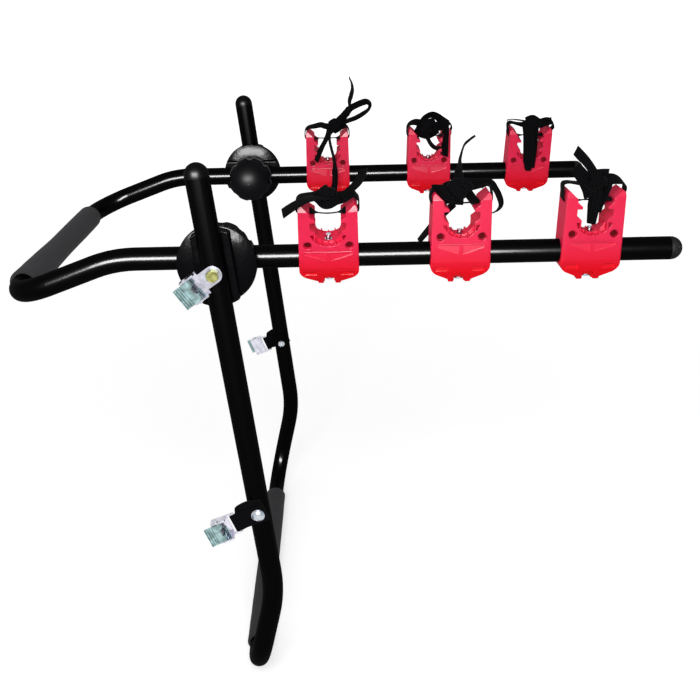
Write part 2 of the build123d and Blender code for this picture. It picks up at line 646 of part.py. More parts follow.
# The loose runs of the tie-down webbing, as they stand and hang on the six cradles. Each has how much
# of the webbing's width it shows from the front, its distance from the arm's centreline across the
# arm, and its points (x, z) as shares of the height of the prongs.
FRONT = -CRADLE_DEPTH / 2 - STRAP_STAND_OFF
BACK = CRADLE_DEPTH / 2 + STRAP_STAND_OFF
EDGE_ON = 0
TAILS = {
    "left_1": [
        (0.8, FRONT, [(0, 1.13), (-0.34, 1.16), (-0.51, 1.04), (-0.66, 0.93)]),
        (0.6, FRONT, [(-0.15, 1.16), (-0.04, 1.05), (0.15, 1.12)]),
        (0.65, 0, [(0.1, 1.06), (0.36, 1.15), (0.49, 1.29), (0.54, 1.47)]),
    ],
    "left_2": [
        (1, FRONT, [(0, 1.05), (0.18, 1.05), (0.43, 1.1)]),
        (1, FRONT, [(0, 1.05), (-0.41, 1.01)]),
        (0.3, 0, [(-0.04, 1.18), (-0.03, 1.42), (0.02, 1.67), (0.11, 1.76), (0.19, 1.81)]),
        (EDGE_ON, 0, [(0.37, 1.025), (0.5, 1.03), (0.59, 0.93), (0.65, 0.77), (0.59, 0.66), (0.52, 0.625)]),
        (0.6, BACK, [(-0.04, 0.8), (-0.46, 0.38), (-0.67, 0.13)]),
    ],
    "left_3": [
        (0.7, 0, [(0, 1.2), (-0.17, 1.43), (-0.32, 1.56)]),
        (0.6, 0, [(0, 1.22), (0.21, 1.23)]),
        (0.65, 0, [(0.03, 1.1), (0.055, 0.94), (0.01, 0.75), (0, 0.48)]),
    ],
    "right_1": [
        (0.9, 0, [(0, 1.05), (0.36, 1.24)]),
        (0.45, 0, [(0.3, 1.22), (0.49, 1.41), (0.67, 1.51), (0.81, 1.54), (0.9, 1.45), (0.8, 1.3)]),
        (0.45, 0, [(0.8, 1.3), (0.3, 1.14)]),
        (0.3, 0, [(0.45, 1.37), (0.5, 1.6), (0.55, 1.83), (0.49, 2.07)]),
        (0.65, FRONT, [(0.03, 1.05), (-0.1, 0.7), (-0.26, 0.39)]),
        (0.2, FRONT, [(0.03, 1.05), (0.08, 0.75), (0.13, 0.44), (0.14, 0.27)]),
        (0.65, FRONT, [(0.13, 0.3), (0.14, 0.11), (0.12, -0.27)]),
    ],
    "right_2": [
        (0.9, 0, [(-0.15, 1), (-0.05, 1.16), (0.08, 1.21), (0.29, 1.11)]),
        (0.6, FRONT, [(0.29, 1.1), (0.32, 1.03), (0.32, 0.43)]),
        (0.2, FRONT, [(0.3, 1.07), (-0.01, 0.84), (0.05, 0.64), (0.18, 0.56), (0.3, 0.6)]),
    ],
    "right_3": [
        (0.3, 0, [(0, 1.14), (-0.48, 1.13)]),
        (0.8, 0, [(-0.02, 1.14), (0.08, 1.17), (0.22, 1.08), (0.42, 1.11)]),
        (1.2, FRONT, [(-0.03, 1.06), (-0.04, 0.82), (0, 0.41), (0.02, 0.12)]),
    ],
}


def cradle_strap(name):
    """One tie-down strap about the cradle's centre: its loop, its knot and its loose runs.

    A run in front or behind that starts in the notch or above it comes there from the middle.
    """
    knot_z = CRADLE_TOP + STRAP_GAP + STRAP_T + KNOT_SIZE[2] / 2 - KNOT_SINK
    knot = Pos(0, 0, knot_z) * Box(*KNOT_SIZE)
    strap = strap_loop() + fillet(knot.edges(), KNOT_ROUND)
    for shown, y, shares in TAILS[name]:
        points = [(x * CRADLE_TOP, z * CRADLE_TOP) for x, z in shares]
        if shown == EDGE_ON:
            strap += band(points, STRAP_T, STRAP_WIDTH, y)
        else:
            strap += band(points, shown * STRAP_WIDTH, STRAP_T, y)
        x, z = points[0]
        if y and z > NOTCH_FLOOR:
            strap += Pos(x, y / 2, z) * Box(shown * STRAP_WIDTH, abs(y) + STRAP_T, 2 * STRAP_T)
    return strap


def buckle_body(start):
    """The stamped channel of a buckle from start onward: plate, two cheeks and pin holes."""
    middle = start + BUCKLE_LENGTH / 2
    half = BUCKLE_WIDTH / 2
    body = Pos(middle, 0, PLATE_T / 2) * Box(BUCKLE_LENGTH, BUCKLE_WIDTH, PLATE_T)
    cheek_length = BUCKLE_LENGTH - FLANGE_START
    cheek = Rectangle(cheek_length, FLANGE_HEIGHT, align=(Align.MIN, Align.MIN))
    cheek = fillet(cheek.vertices().group_by(Axis.Y)[-1], FLANGE_ROUND)
    for side in (-1, 1):
        middle_y = side * (half - PLATE_T / 2)
        body += Pos(start + FLANGE_START, middle_y, 0) * extrude(Plane.XZ * cheek, PLATE_T / 2, both=True)
    pin = Plane(origin=(start + CAM_PIN_X, 0, CAM_PIN_Z), z_dir=(0, 1, 0))
    return body - pin * rod(CAM_PIN_OD + 2 * PIVOT_FIT, -BUCKLE_WIDTH, BUCKLE_WIDTH)


def ear_plate():
    """The upper buckle's channel, with an ear round the hub bolt."""
    ear = Circle(EAR_WIDTH / 2) + Pos(EAR_REACH / 2, 0) * Rectangle(EAR_REACH, EAR_WIDTH)
    plate = extrude(ear, PLATE_T) + buckle_body(EAR_REACH)
    return plate - rod(BOLT_OD + 2 * PIVOT_FIT, -OVERCUT, PLATE_T + OVERCUT)


def slot_plate():
    """The lower buckle's channel, with a bar that the webbing tab goes round."""
    lip = BAR_LENGTH + SLOT_LENGTH
    plate = buckle_body(TAB_REACH + lip)
    plate += Pos(TAB_REACH + lip / 2, 0, PLATE_T / 2) * Box(lip, BUCKLE_WIDTH, PLATE_T)
    slot = Box(SLOT_LENGTH, BUCKLE_WIDTH - 2 * SLOT_SIDE, 4 * PLATE_T)
    return plate - Pos(TAB_REACH + BAR_LENGTH + SLOT_LENGTH / 2, 0, 0) * slot


def cam_lever():
    """The cam and its ribbed thumb plate, about the pin along local Y, thumb towards plus X."""
    width = BUCKLE_WIDTH - 2 * PLATE_T - 2 * LEVER_SIDE_GAP
    barrel_r = CAM_BARREL_OD / 2
    nose_r = CAM_NOSE_OD / 2
    low, high = CAM_NOSE_SPAN
    nose = [(0.0, 0.0)]
    steps = 2 * CAM_TEETH
    for i in range(steps + 1):
        angle = radians(low + (high - low) * i / steps)
        reach = nose_r if i % 2 else barrel_r
        nose.append((reach * cos(angle), reach * sin(angle)))
    top = barrel_r
    thumb = [(0, top - LEVER_T), (LEVER_REACH, top - LEVER_T), (LEVER_REACH, top), (0, top)]
    section = Circle(barrel_r) + Polygon(*nose, align=None) + Polygon(*thumb, align=None)
    pitch = (LEVER_REACH - barrel_r) / LEVER_RIBS
    rib = pitch * LEVER_RIB_WIDTH
    for i in range(LEVER_RIBS):
        x = LEVER_REACH - i * pitch - rib
        root = top - LEVER_T / 2
        section += Polygon((x, root), (x + rib, root), (x + rib / 2, top + LEVER_RIB), align=None)
    lever = extrude(Plane.XZ * (Rot(0, 0, LEVER_LIFT) * section), width / 2, both=True)
    pin = Plane(origin=(0, 0, 0), z_dir=(0, 1, 0))
    lever -= pin * rod(CAM_PIN_OD + 2 * PIVOT_FIT, -width, width)
    bay = pin * rod(CAM_NOSE_OD + OVERCUT, -SPRING_BAY / 2, SPRING_BAY / 2)
    roof = Pos(0, 0, top + OVERCUT) * Box(2 * CAM_NOSE_OD, SPRING_BAY, LEVER_T)
    return lever - (bay - roof)


def cam_pin():
    """The riveted pin through both cheeks, along local Y about the origin."""
    half = BUCKLE_WIDTH / 2
    line = Plane(origin=(0, 0, 0), z_dir=(0, 1, 0))
    pin = rod(CAM_PIN_OD, -half, half)
    for start, end in ((-half - CAM_PIN_HEAD_T, -half), (half, half + CAM_PIN_HEAD_T)):
        pin += rod(CAM_PIN_HEAD_OD, start, end)
    return line * pin


def biarc(start, start_way, end, end_way):
    """Two arcs from start to end that leave and arrive along the given unit directions."""
    span = end - start
    ways = start_way + end_way
    a = ways.dot(ways) - 4
    b = -2 * span.dot(ways)
    c = span.dot(span)
    reach = (-b - sqrt(b * b - 4 * a * c)) / (2 * a)
    joint = (start + start_way * reach + end - end_way * reach) / 2
    return TangentArc(start, joint, tangent=start_way), TangentArc(end, joint, tangent=end_way * -1)


def spring():
    """The torsion spring round the pin, along local Y: a coil and a short straight leg at each end."""
    radius = (SPRING_COIL_OD - SPRING_WIRE) / 2
    halves = round(2 * SPRING_TURNS)
    rise = SPRING_PITCH / (2 * pi)
    length = SPRING_TURNS * SPRING_PITCH

    def at(turn):
        angle = turn * pi
        return Vector(radius * cos(angle), radius * sin(angle), rise * angle - length / 2)

    def way(turn):
        angle = turn * pi
        return Vector(-radius * sin(angle), radius * cos(angle), rise).normalized()

    edges = [Line(at(0) - way(0) * SPRING_LEG, at(0))]
    for i in range(halves):
        first, second = biarc(at(i), way(i), at(i + 1), way(i + 1))
        edges += [first, second]
    edges.append(Line(at(halves), at(halves) + way(halves) * SPRING_LEG))
    path = Wire(edges)
    section = Plane(origin=at(0) - way(0) * SPRING_LEG, z_dir=way(0)) * Circle(SPRING_WIRE / 2)
    return Plane(origin=(0, 0, 0), x_dir=(0, 0, 1), z_dir=(0, 1, 0)) * sweep(section, path=path)


def spring_gap():
    """The least gap between neighbouring turns, measured on points along the coil."""
    radius = (SPRING_COIL_OD - SPRING_WIRE) / 2
    rise = SPRING_PITCH / (2 * pi)
    per_turn = 48
    turns = [2 * pi * i / per_turn for i in range(ceil(SPRING_TURNS * per_turn))]
    points = [Vector(radius * cos(turn), radius * sin(turn), rise * turn) for turn in turns]
    pairs = ((p, q) for i, p in enumerate(points) for q in points[i + per_turn // 2 :])
    return min((p - q).length for p, q in pairs) - SPRING_WIRE


def webbing_tab():
    """The folded webbing from the lower bolt to the buckle's bar, in the buckle's frame."""
    long, thick = BAR_LENGTH + 2 * TAB_FIT, PLATE_T + 2 * TAB_FIT
    bar = Pos(TAB_REACH + BAR_LENGTH / 2, 0, thick / 2 + TAB_PLY)
    loop = bar * Box(long + 2 * TAB_PLY, TAB_WIDTH, thick + 2 * TAB_PLY)
    cavity = bar * Box(long, 2 * TAB_WIDTH, thick)
    plies = Pos((TAB_REACH - TAB_END) / 2, 0, TAB_PLY) * Box(TAB_REACH + TAB_END, TAB_WIDTH, 2 * TAB_PLY)
    return plies + loop - cavity - rod(BOLT_OD + 2 * PIVOT_FIT, -OVERCUT, 2 * TAB_PLY + OVERCUT)


def lower_bolt():
    """The dome-headed bolt through the leg, head outside over the webbing tab."""
    head_y = OUTER_Y + 2 * TAB_PLY + SWING_GAP + WASHER_T
    shank = across(BOLT_OD, LOWER_BOLT, LEG_Y - TUBE_R - DOME_NUT_BORE, head_y)
    return shank + on_left(LOWER_BOLT, head_y) * dome(DOME_HEAD_OD, DOME_HEAD_T)


def lower_nut():
    """The dome nut on the inner side of the leg."""
    seat = LEG_Y - TUBE_R
    nut = on_left(LOWER_BOLT, seat, (1, 0, 0), INWARD) * dome(DOME_NUT_OD, DOME_NUT_T)
    return nut - across(BOLT_OD, LOWER_BOLT, seat - DOME_NUT_BORE, seat)


def lower_washer():
    """The washer between the bolt's head and the webbing tab."""
    hole = BOLT_OD + 2 * BOLT_FIT
    return on_left(LOWER_BOLT, OUTER_Y + 2 * TAB_PLY + SWING_GAP) * washer(WASHER_OD, hole, WASHER_T)


def buckle_parts(frame, plate, body_start):
    """The four pieces of one buckle in its frame, as (plate, lever, pin, spring)."""
    cam = frame * Pos(body_start + CAM_PIN_X, 0, CAM_PIN_Z)
    return frame * plate, cam * cam_lever(), cam * cam_pin(), cam * spring()


def save(name, *pieces):
    """Write one node, of one solid or of a group of separate solids."""
    solids = [solid for piece in pieces for solid in piece.solids()]
    shape = solids[0] if len(solids) == 1 else Compound(children=solids)
    shape.label = name
    export_step(shape, f"parts/{name}.step")
    print(name, len(solids), "solids,", round(sum(s.volume for s in solids)), "mm3")


def save_pair(name, left):
    """Write a left piece and its mirror image on the right."""
    save(f"{name}_left", left)
    save(f"{name}_right", mirrored(left))


def main():
    os.makedirs("parts", exist_ok=True)
    save("frame_tube", frame_tube())
    save("carrier_tube", carrier_tube())
    save("leg_end_caps", *leg_caps())
    save("arm_end_caps", *arm_caps())
    save("lower_foam_sleeve", foam_sleeve(Vector(0, LOWER_FOAM_SHIFT, 0), LOWER_FOAM_LENGTH))
    save("upper_foam_sleeve", foam_sleeve(UPPER_BAR, UPPER_FOAM_LENGTH))
    save_pair("hub_outer_disc", outer_disc())
    save_pair("hub_inner_disc", inner_disc())
    knob_frame = on_left(HUB, KNOB_Y, (1, 0, 0), INWARD)
    save_pair("knob", knob_frame * knob())
    save_pair("knob_insert", knob_frame * knob_insert())
    bolt = hub_bolt()
    save("hub_bolts", bolt, mirrored(bolt))
    washers = hub_washers() + [lower_washer()]
    save("washers", *washers, *map(mirrored, washers))

    outboard, inboard = cradle_halves()
    screws, nuts = shell_screws(), shell_nuts()
    bolts, bolt_nuts, all_screws, all_nuts = [], [], [], []
    for side, spots in CRADLE_SPOTS.items():
        facing = mirrored if SIDES[side] > 0 else on_itself
        for i in range(len(spots)):
            place = cradle_place(side, i)
            save(f"cradle_{i + 1}_outboard_half_{side}", place * facing(outboard))
            save(f"cradle_{i + 1}_inboard_half_{side}", place * facing(inboard))
            save(f"cradle_strap_{i + 1}_{side}", place * cradle_strap(f"{side}_{i + 1}"))
            bolts.append(place * clamp_bolt())
            bolt_nuts.append(place * clamp_nut())
            all_screws += [place * facing(screw) for screw in screws]
            all_nuts += [place * facing(nut) for nut in nuts]
    save("cradle_clamp_bolts", *bolts)
    save("cradle_clamp_nuts", *bolt_nuts)
    save("cradle_screws", *all_screws)
    save("cradle_screw_nuts", *all_nuts)

    upper_frame = on_left(HUB, OUTER_Y, UPPER_WAY)
    lower_frame = on_left(LOWER_BOLT, OUTER_Y + PLATE_LIFT, LOWER_WAY)
    upper = buckle_parts(upper_frame, ear_plate(), EAR_REACH)
    lower = buckle_parts(lower_frame, slot_plate(), TAB_REACH + BAR_LENGTH + SLOT_LENGTH)
    for level, parts in (("upper", upper), ("lower", lower)):
        for piece, shape in zip(("plate", "cam_lever", "pin", "spring"), parts):
            save_pair(f"{level}_buckle_{piece}", shape)
    save_pair("webbing_tab", on_left(LOWER_BOLT, OUTER_Y, LOWER_WAY) * webbing_tab())
    bolt, nut = lower_bolt(), lower_nut()
    save("lower_bolts", bolt, mirrored(bolt))
    save("lower_dome_nuts", nut, mirrored(nut))
    print("least gap between the turns of a spring:", round(spring_gap(), 2), "mm")


main()
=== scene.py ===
import json
import logging
import math
from dataclasses import dataclass, field
from enum import Enum

import bmesh
import bpy
from mathutils import Matrix, Vector, noise

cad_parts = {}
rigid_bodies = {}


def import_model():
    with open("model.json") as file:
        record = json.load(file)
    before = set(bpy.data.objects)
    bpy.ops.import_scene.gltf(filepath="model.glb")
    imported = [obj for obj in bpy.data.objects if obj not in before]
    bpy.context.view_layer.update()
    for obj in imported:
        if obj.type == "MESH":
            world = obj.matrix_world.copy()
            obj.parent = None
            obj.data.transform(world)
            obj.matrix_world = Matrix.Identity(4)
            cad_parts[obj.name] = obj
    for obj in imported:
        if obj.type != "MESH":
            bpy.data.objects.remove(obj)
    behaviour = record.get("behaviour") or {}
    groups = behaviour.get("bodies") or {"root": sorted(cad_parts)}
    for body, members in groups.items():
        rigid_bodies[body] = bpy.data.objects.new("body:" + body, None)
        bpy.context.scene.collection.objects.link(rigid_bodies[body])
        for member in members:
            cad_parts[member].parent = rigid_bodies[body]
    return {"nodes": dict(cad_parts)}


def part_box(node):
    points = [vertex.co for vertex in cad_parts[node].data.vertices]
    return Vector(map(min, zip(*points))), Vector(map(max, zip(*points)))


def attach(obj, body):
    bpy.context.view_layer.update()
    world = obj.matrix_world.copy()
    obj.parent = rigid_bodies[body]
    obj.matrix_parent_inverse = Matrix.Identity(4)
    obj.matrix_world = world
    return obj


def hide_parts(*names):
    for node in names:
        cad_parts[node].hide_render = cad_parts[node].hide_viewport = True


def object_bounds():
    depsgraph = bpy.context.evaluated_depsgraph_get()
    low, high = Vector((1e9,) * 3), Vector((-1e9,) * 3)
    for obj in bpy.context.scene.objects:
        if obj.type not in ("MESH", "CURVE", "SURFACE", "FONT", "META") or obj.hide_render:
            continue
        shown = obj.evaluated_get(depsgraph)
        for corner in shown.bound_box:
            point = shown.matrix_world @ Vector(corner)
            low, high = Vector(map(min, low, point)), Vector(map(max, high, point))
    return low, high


# A folding carrier for three bicycles that hooks on a car's rear door, in metres. The origin is the
# middle of the lower padded bar, X runs back along the arms, Y across the car and Z up.
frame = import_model()
cad_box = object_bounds()

log = logging.getLogger("rear_door_carrier")
logging.basicConfig(level=logging.INFO, format="%(name)s: %(message)s")

# Blender's node types, as the type hints name them.
Tree, Node, Socket = bpy.types.NodeTree, bpy.types.Node, bpy.types.NodeSocket
# A point of the webbing's line: x, y, z in millimetres and the webbing's turn about the line in degrees.
Turned = tuple[float, float, float, float]

MM = 0.001
# The direction of the photograph's view, in which the loose webbing was laid out.
VIEW = (0.01033, 0.91541, -0.40238)
# Rays per shading point that round a sharp edge.
EDGE_SAMPLES = 6


class Side(Enum):
    """The two sides of the carrier, with the direction of each along Y."""

    LEFT = -1
    RIGHT = 1

    @property
    def word(self) -> str:
        """The side's name as the CAD nodes and bodies spell it."""
        return self.name.lower()


class Level(Enum):
    """Where a pair of cam buckles sits on the legs."""

    UPPER = "upper"
    LOWER = "lower"


def linear(code: str) -> tuple[float, float, float, float]:
    """Turn an sRGB hex colour, such as "#RRGGBB", into Blender's linear one with an alpha of 1."""
    shares = [int(code[i : i + 2], 16) / 255 for i in (1, 3, 5)]
    return (*(s / 12.92 if s <= 0.04045 else ((s + 0.055) / 1.055) ** 2.4 for s in shares), 1.0)


def add(tree: Tree, kind: str, inputs: dict[str | int, object] | None = None, **settings: object) -> Node:
    """Add one shader node with its settings and links.

    Args:
        tree: the material's node tree.
        kind: Blender's name for the node type.
        inputs: values, or sockets to link from, by the input's name or number.
        **settings: the node's own properties.

    Returns:
        The new node.
    """
    node = tree.nodes.new(kind)
    for name, value in settings.items():
        setattr(node, name, value)
    for key, value in (inputs or {}).items():
        if isinstance(value, Socket):
            tree.links.new(value, node.inputs[key])
        else:
            node.inputs[key].default_value = value
    return node


def stripes(pitch: float) -> float:
    """The scale at which a wave texture repeats once in every pitch of so many metres."""
    return 2 * math.pi / (20 * pitch)


def grains(size: float) -> float:
    """The scale at which a noise texture's grains are about so many metres across."""
    return 1 / size


@dataclass(frozen=True)
class Finish:
    """One real finish: a base colour, how glossy it is, and a fine relief of the surface.

    Colours are sRGB hex and sizes are in metres.

    Attributes:
        name: the material's name: what it is and how it was made.
        slot: a name for the material's slot; not used.
        colour: the base colour.
        tint: the colour that soft patches of the surface turn to.
        roughness: how dull its highlight is.
        metallic: 1 for bare and plated metal.
        specular: the strength of the body's own mirror image.
        skin: the share of the surface under a clear gloss, as on paint and on the outside of a moulding.
        mottle: the size of the soft patches.
        patchy: the share by which the roughness varies with them.
        grain: the size of the relief's bumps.
        relief: their height.
        edge: the radius at which sharp edges catch the light, or 0.
    """

    name: str
    slot: str
    colour: str
    tint: str
    roughness: float
    metallic: float = 0.0
    specular: float = 0.5
    skin: float = 0.0
    mottle: float = 12 * MM
    patchy: float = 0.12
    grain: float = 1.2 * MM
    relief: float = 0.02 * MM
    edge: float = 0.0

    def material(self) -> bpy.types.Material:
        """Build the material, or give the one that was built before.

        Returns:
            The material.
        """
        known = bpy.data.materials.get(self.name)
        if known:
            return known
        made = bpy.data.materials.new(self.name)
        made.use_nodes = True
        made.diffuse_color = linear(self.colour)
        tree = made.node_tree
        shader = tree.nodes["Principled BSDF"]
        shader.inputs["Metallic"].default_value = self.metallic
        shader.inputs["Specular IOR Level"].default_value = self.specular
        shader.inputs["Roughness"].default_value = self.roughness
        shader.inputs["Coat Weight"].default_value = self.skin
        shader.inputs["Coat Roughness"].default_value = self.roughness
        self.pattern(tree, shader)
        return made

    def pattern(self, tree: Tree, shader: Node) -> None:
        """Add what varies over the surface: colour in soft patches, gloss, and a fine grain.

        Args:
            tree: the material's node tree.
            shader: its surface shader.
        """
        place = add(tree, "ShaderNodeTexCoord").outputs["Object"]
        patches = add(
            tree, "ShaderNodeTexNoise", {"Vector": place, "Scale": grains(self.mottle), "Detail": 3.0}
        )
        colour = add(
            tree,
            "ShaderNodeMix",
            {"Factor": patches.outputs["Fac"], "A": linear(self.colour), "B": linear(self.tint)},
            data_type="RGBA",
        )
        self.wire(tree, shader, "Base Color", colour.outputs["Result"])
        least, most = self.roughness * (1 - self.patchy), self.roughness * (1 + self.patchy)
        gloss = add(
            tree, "ShaderNodeMapRange", {"Value": patches.outputs["Fac"], "To Min": least, "To Max": most}
        )
        self.wire(tree, shader, "Roughness", gloss.outputs["Result"])
        height = add(
            tree, "ShaderNodeTexNoise", {"Vector": place, "Scale": grains(self.grain), "Detail": 4.0}
        )
        self.emboss(tree, shader, height.outputs["Fac"])

    def emboss(self, tree: Tree, shader: Node, height: Socket) -> None:
        """Turn a height into the surface's relief, over edges that are slightly rounded.

        Args:
            tree: the material's node tree.
            shader: its surface shader.
            height: the relief's height, from 0 to 1.
        """
        inputs = {"Height": height, "Distance": self.relief, "Strength": 1.0}
        if self.edge:
            rounded = add(tree, "ShaderNodeBevel", {"Radius": self.edge}, samples=EDGE_SAMPLES)
            inputs["Normal"] = rounded.outputs["Normal"]
        bump = add(tree, "ShaderNodeBump", inputs)
        self.wire(tree, shader, "Normal", bump.outputs["Normal"])
        if self.skin:
            self.wire(tree, shader, "Coat Normal", bump.outputs["Normal"])

    @staticmethod
    def wire(tree: Tree, shader: Node, name: str, source: Socket) -> None:
        """Link a source to the shader's input of that name."""
        tree.links.new(source, shader.inputs[name])


@dataclass(frozen=True)
class WornTip(Finish):
    """A moulded plug whose far end is scuffed to a dull grey.

    Attributes:
        worn: the scuff's colour.
        tip_x: where it starts along X.
        fade: the length over which it grows.
        speck: the size of its specks.
        thin: the noise below which there is no speck.
        full: the noise above which a speck is full.
    """

    worn: str = "#5A5A5C"
    tip_x: float = 531 * MM
    fade: float = 12 * MM
    speck: float = 3 * MM
    thin: float = 0.48
    full: float = 0.68

    def pattern(self, tree: Tree, shader: Node) -> None:
        """Add the scuff over the plug's own colour and grain.

        Args:
            tree: the material's node tree.
            shader: its surface shader.
        """
        super().pattern(tree, shader)
        place = add(tree, "ShaderNodeTexCoord").outputs["Object"]
        along = add(tree, "ShaderNodeSeparateXYZ", {"Vector": place}).outputs["X"]
        reach = add(
            tree,
            "ShaderNodeMapRange",
            {"Value": along, "From Min": self.tip_x, "From Max": self.tip_x + self.fade},
        )
        specks = add(
            tree, "ShaderNodeTexNoise", {"Vector": place, "Scale": grains(self.speck), "Detail": 6.0}
        )
        flecks = add(
            tree,
            "ShaderNodeMapRange",
            {"Value": specks.outputs["Fac"], "From Min": self.thin, "From Max": self.full},
        )
        amount = add(
            tree,
            "ShaderNodeMath",
            {0: reach.outputs["Result"], 1: flecks.outputs["Result"]},
            operation="MULTIPLY",
        )
        plain = shader.inputs["Base Color"].links[0].from_socket
        colour = add(
            tree,
            "ShaderNodeMix",
            {"Factor": amount.outputs["Value"], "A": plain, "B": linear(self.worn)},
            data_type="RGBA",
        )
        self.wire(tree, shader, "Base Color", colour.outputs["Result"])


@dataclass(frozen=True)
class Passivated(Finish):
    """A zinc plate whose thin passivation layer shifts between two tints across the surface.

    Attributes:
        blush: the second tint.
        cloud: the size of its clouds.
        thin: the noise below which there is none of it.
        full: the noise above which nothing else shows.
        lines: the pitch of fine ribs over the surface, or 0.
        slant: how they are turned about X, Y and Z, in degrees.
        wobble: how far they stray from straight.
    """

    blush: str = "#B9BCD6"
    cloud: float = 7 * MM
    thin: float = 0.4
    full: float = 0.65
    lines: float = 0.0
    slant: tuple[float, float, float] = (0.0, 40.0, 35.0)
    wobble: float = 0.6

    def pattern(self, tree: Tree, shader: Node) -> None:
        """Add the shifting tint, and the ribs where the piece has them.

        Args:
            tree: the material's node tree.
            shader: its surface shader.
        """
        super().pattern(tree, shader)
        place = add(tree, "ShaderNodeTexCoord").outputs["Object"]
        clouds = add(
            tree, "ShaderNodeTexNoise", {"Vector": place, "Scale": grains(self.cloud), "Detail": 2.0}
        )
        share = add(
            tree,
            "ShaderNodeMapRange",
            {"Value": clouds.outputs["Fac"], "From Min": self.thin, "From Max": self.full},
        )
        plain = shader.inputs["Base Color"].links[0].from_socket
        colour = add(
            tree,
            "ShaderNodeMix",
            {"Factor": share.outputs["Result"], "A": plain, "B": linear(self.blush)},
            data_type="RGBA",
        )
        self.wire(tree, shader, "Base Color", colour.outputs["Result"])
        if self.lines:
            turns = [math.radians(turn) for turn in self.slant]
            turned = add(tree, "ShaderNodeMapping", {"Vector": place, "Rotation": turns})
            across = {"Vector": turned.outputs["Vector"], "Scale": stripes(self.lines)}
            ribs = add(tree, "ShaderNodeTexWave", {**across, "Distortion": self.wobble})
            self.emboss(tree, shader, ribs.outputs["Fac"])


@dataclass(frozen=True)
class Shaded(Finish):
    """A moulding whose colour deepens below the arm in painted shade, where its faces turn to the ground.

    Attributes:
        deep: the deeper colour, of the painted shade.
        from_z: the height at which it is full.
        to_z: the height at which it ends.
    """

    deep: str = "#F0061C"
    from_z: float = 590 * MM
    to_z: float = 626 * MM

    def pattern(self, tree: Tree, shader: Node) -> None:
        """Blend the painted shade's deeper colour in over the lower part.

        Args:
            tree: the material's node tree.
            shader: its surface shader.
        """
        super().pattern(tree, shader)
        place = add(tree, "ShaderNodeTexCoord").outputs["Object"]
        height = add(tree, "ShaderNodeSeparateXYZ", {"Vector": place}).outputs["Z"]
        share = add(
            tree, "ShaderNodeMapRange", {"Value": height, "From Min": self.from_z, "From Max": self.to_z}
        )
        plain = shader.inputs["Base Color"].links[0].from_socket
        # Painted shade: the colour deepens towards the bottom.
        colour = add(
            tree,
            "ShaderNodeMix",
            {"Factor": share.outputs["Result"], "A": linear(self.deep), "B": plain},
            data_type="RGBA",
        )
        self.wire(tree, shader, "Base Color", colour.outputs["Result"])


@dataclass(frozen=True)
class Woven(Finish):
    """Polypropylene webbing: rows of weft across it and columns of warp along it.

    It reads the strip's own lengthwise and crosswise measure, in metres, from the mesh.

    Attributes:
        weft: the pitch of the rows.
        warp: the pitch of the columns.
        sheen: the strength of the fibres' sheen at a low angle.
        sheen_roughness: how widely it spreads.
    """

    weft: float = 2.4 * MM
    warp: float = 3.2 * MM
    sheen: float = 0.04
    sheen_roughness: float = 0.4

    def pattern(self, tree: Tree, shader: Node) -> None:
        """Add the weave's relief, and a painted highlight that makes the crowns of its yarns paler.

        Args:
            tree: the material's node tree.
            shader: its surface shader.
        """
        shader.inputs["Sheen Weight"].default_value = self.sheen
        shader.inputs["Sheen Roughness"].default_value = self.sheen_roughness
        flat = add(tree, "ShaderNodeTexCoord").outputs["UV"]
        rows, columns = (
            add(tree, "ShaderNodeTexWave", {"Vector": flat, "Scale": stripes(pitch)}, bands_direction=way)
            for pitch, way in ((self.weft, "X"), (self.warp, "Y"))
        )
        both = add(
            tree,
            "ShaderNodeMath",
            {0: rows.outputs["Fac"], 1: columns.outputs["Fac"]},
            operation="MULTIPLY",
        )
        # Painted highlight: the crowns, where rows and columns stand highest, turn to the paler tint.
        colour = add(
            tree,
            "ShaderNodeMix",
            {"Factor": both.outputs["Value"], "A": linear(self.colour), "B": linear(self.tint)},
            data_type="RGBA",
        )
        self.wire(tree, shader, "Base Color", colour.outputs["Result"])
        self.emboss(tree, shader, both.outputs["Value"])


# Gloss black polyester powder coat on steel tube: near black, with a sharp highlight and a faint
# orange peel.
POWDER_COAT = Finish(
    "black_powder_coated_steel", "powder_coat", "#020202", "#040405", 0.19,
    specular=0.0, skin=0.03, mottle=30 * MM, grain=12 * MM, relief=0.015 * MM,
)
# Low-density polyethylene plugs pushed into the legs: smooth, a little softer than the coat.
LEG_PLUG = Finish(
    "black_moulded_polyethylene", "cap_plastic", "#030304", "#060608", 0.34,
    specular=0.0, skin=0.06, grain=5 * MM,
)
# The same plugs on the arms, dulled and scuffed grey where they get knocked.
ARM_PLUG = WornTip(
    "scuffed_moulded_polyethylene", "cap_plastic", "#060606", "#0C0C0D", 0.5,
    specular=0.0, skin=0.12, grain=2 * MM, relief=0.06 * MM,
)
# Closed-cell nitrile foam with its moulded skin: charcoal, matt, finely pitted.
FOAM = Finish(
    "skinned_nitrile_foam", "foam", "#343436", "#444446", 0.86,
    specular=0.12, mottle=22 * MM, grain=1.6 * MM, relief=0.22 * MM,
)
# Glass-filled nylon, moulded: black with broad soft highlights and a skin that is not quite even.
NYLON = Finish(
    "black_moulded_nylon", "hub_plastic", "#030304", "#06060A", 0.22,
    specular=0.0, skin=0.05, mottle=16 * MM, grain=16 * MM, relief=0.7 * MM, edge=0.9 * MM,
)
# The knobs' nylon is polished less by the mould, so its highlight is duller.
KNOB_NYLON = Finish(
    "satin_moulded_nylon", "knob_plastic", "#050507", "#0D0D11", 0.42,
    specular=0.0, skin=0.055, mottle=16 * MM, grain=2.5 * MM, relief=0.05 * MM, edge=1.2 * MM,
)
# Free-cutting steel, turned: grey and fairly bright.
TURNED_STEEL = Finish(
    "turned_steel", "plain_steel", "#A9AAAE", "#8E9096", 0.32, metallic=1.0, grain=0.8 * MM, edge=0.3 * MM
)
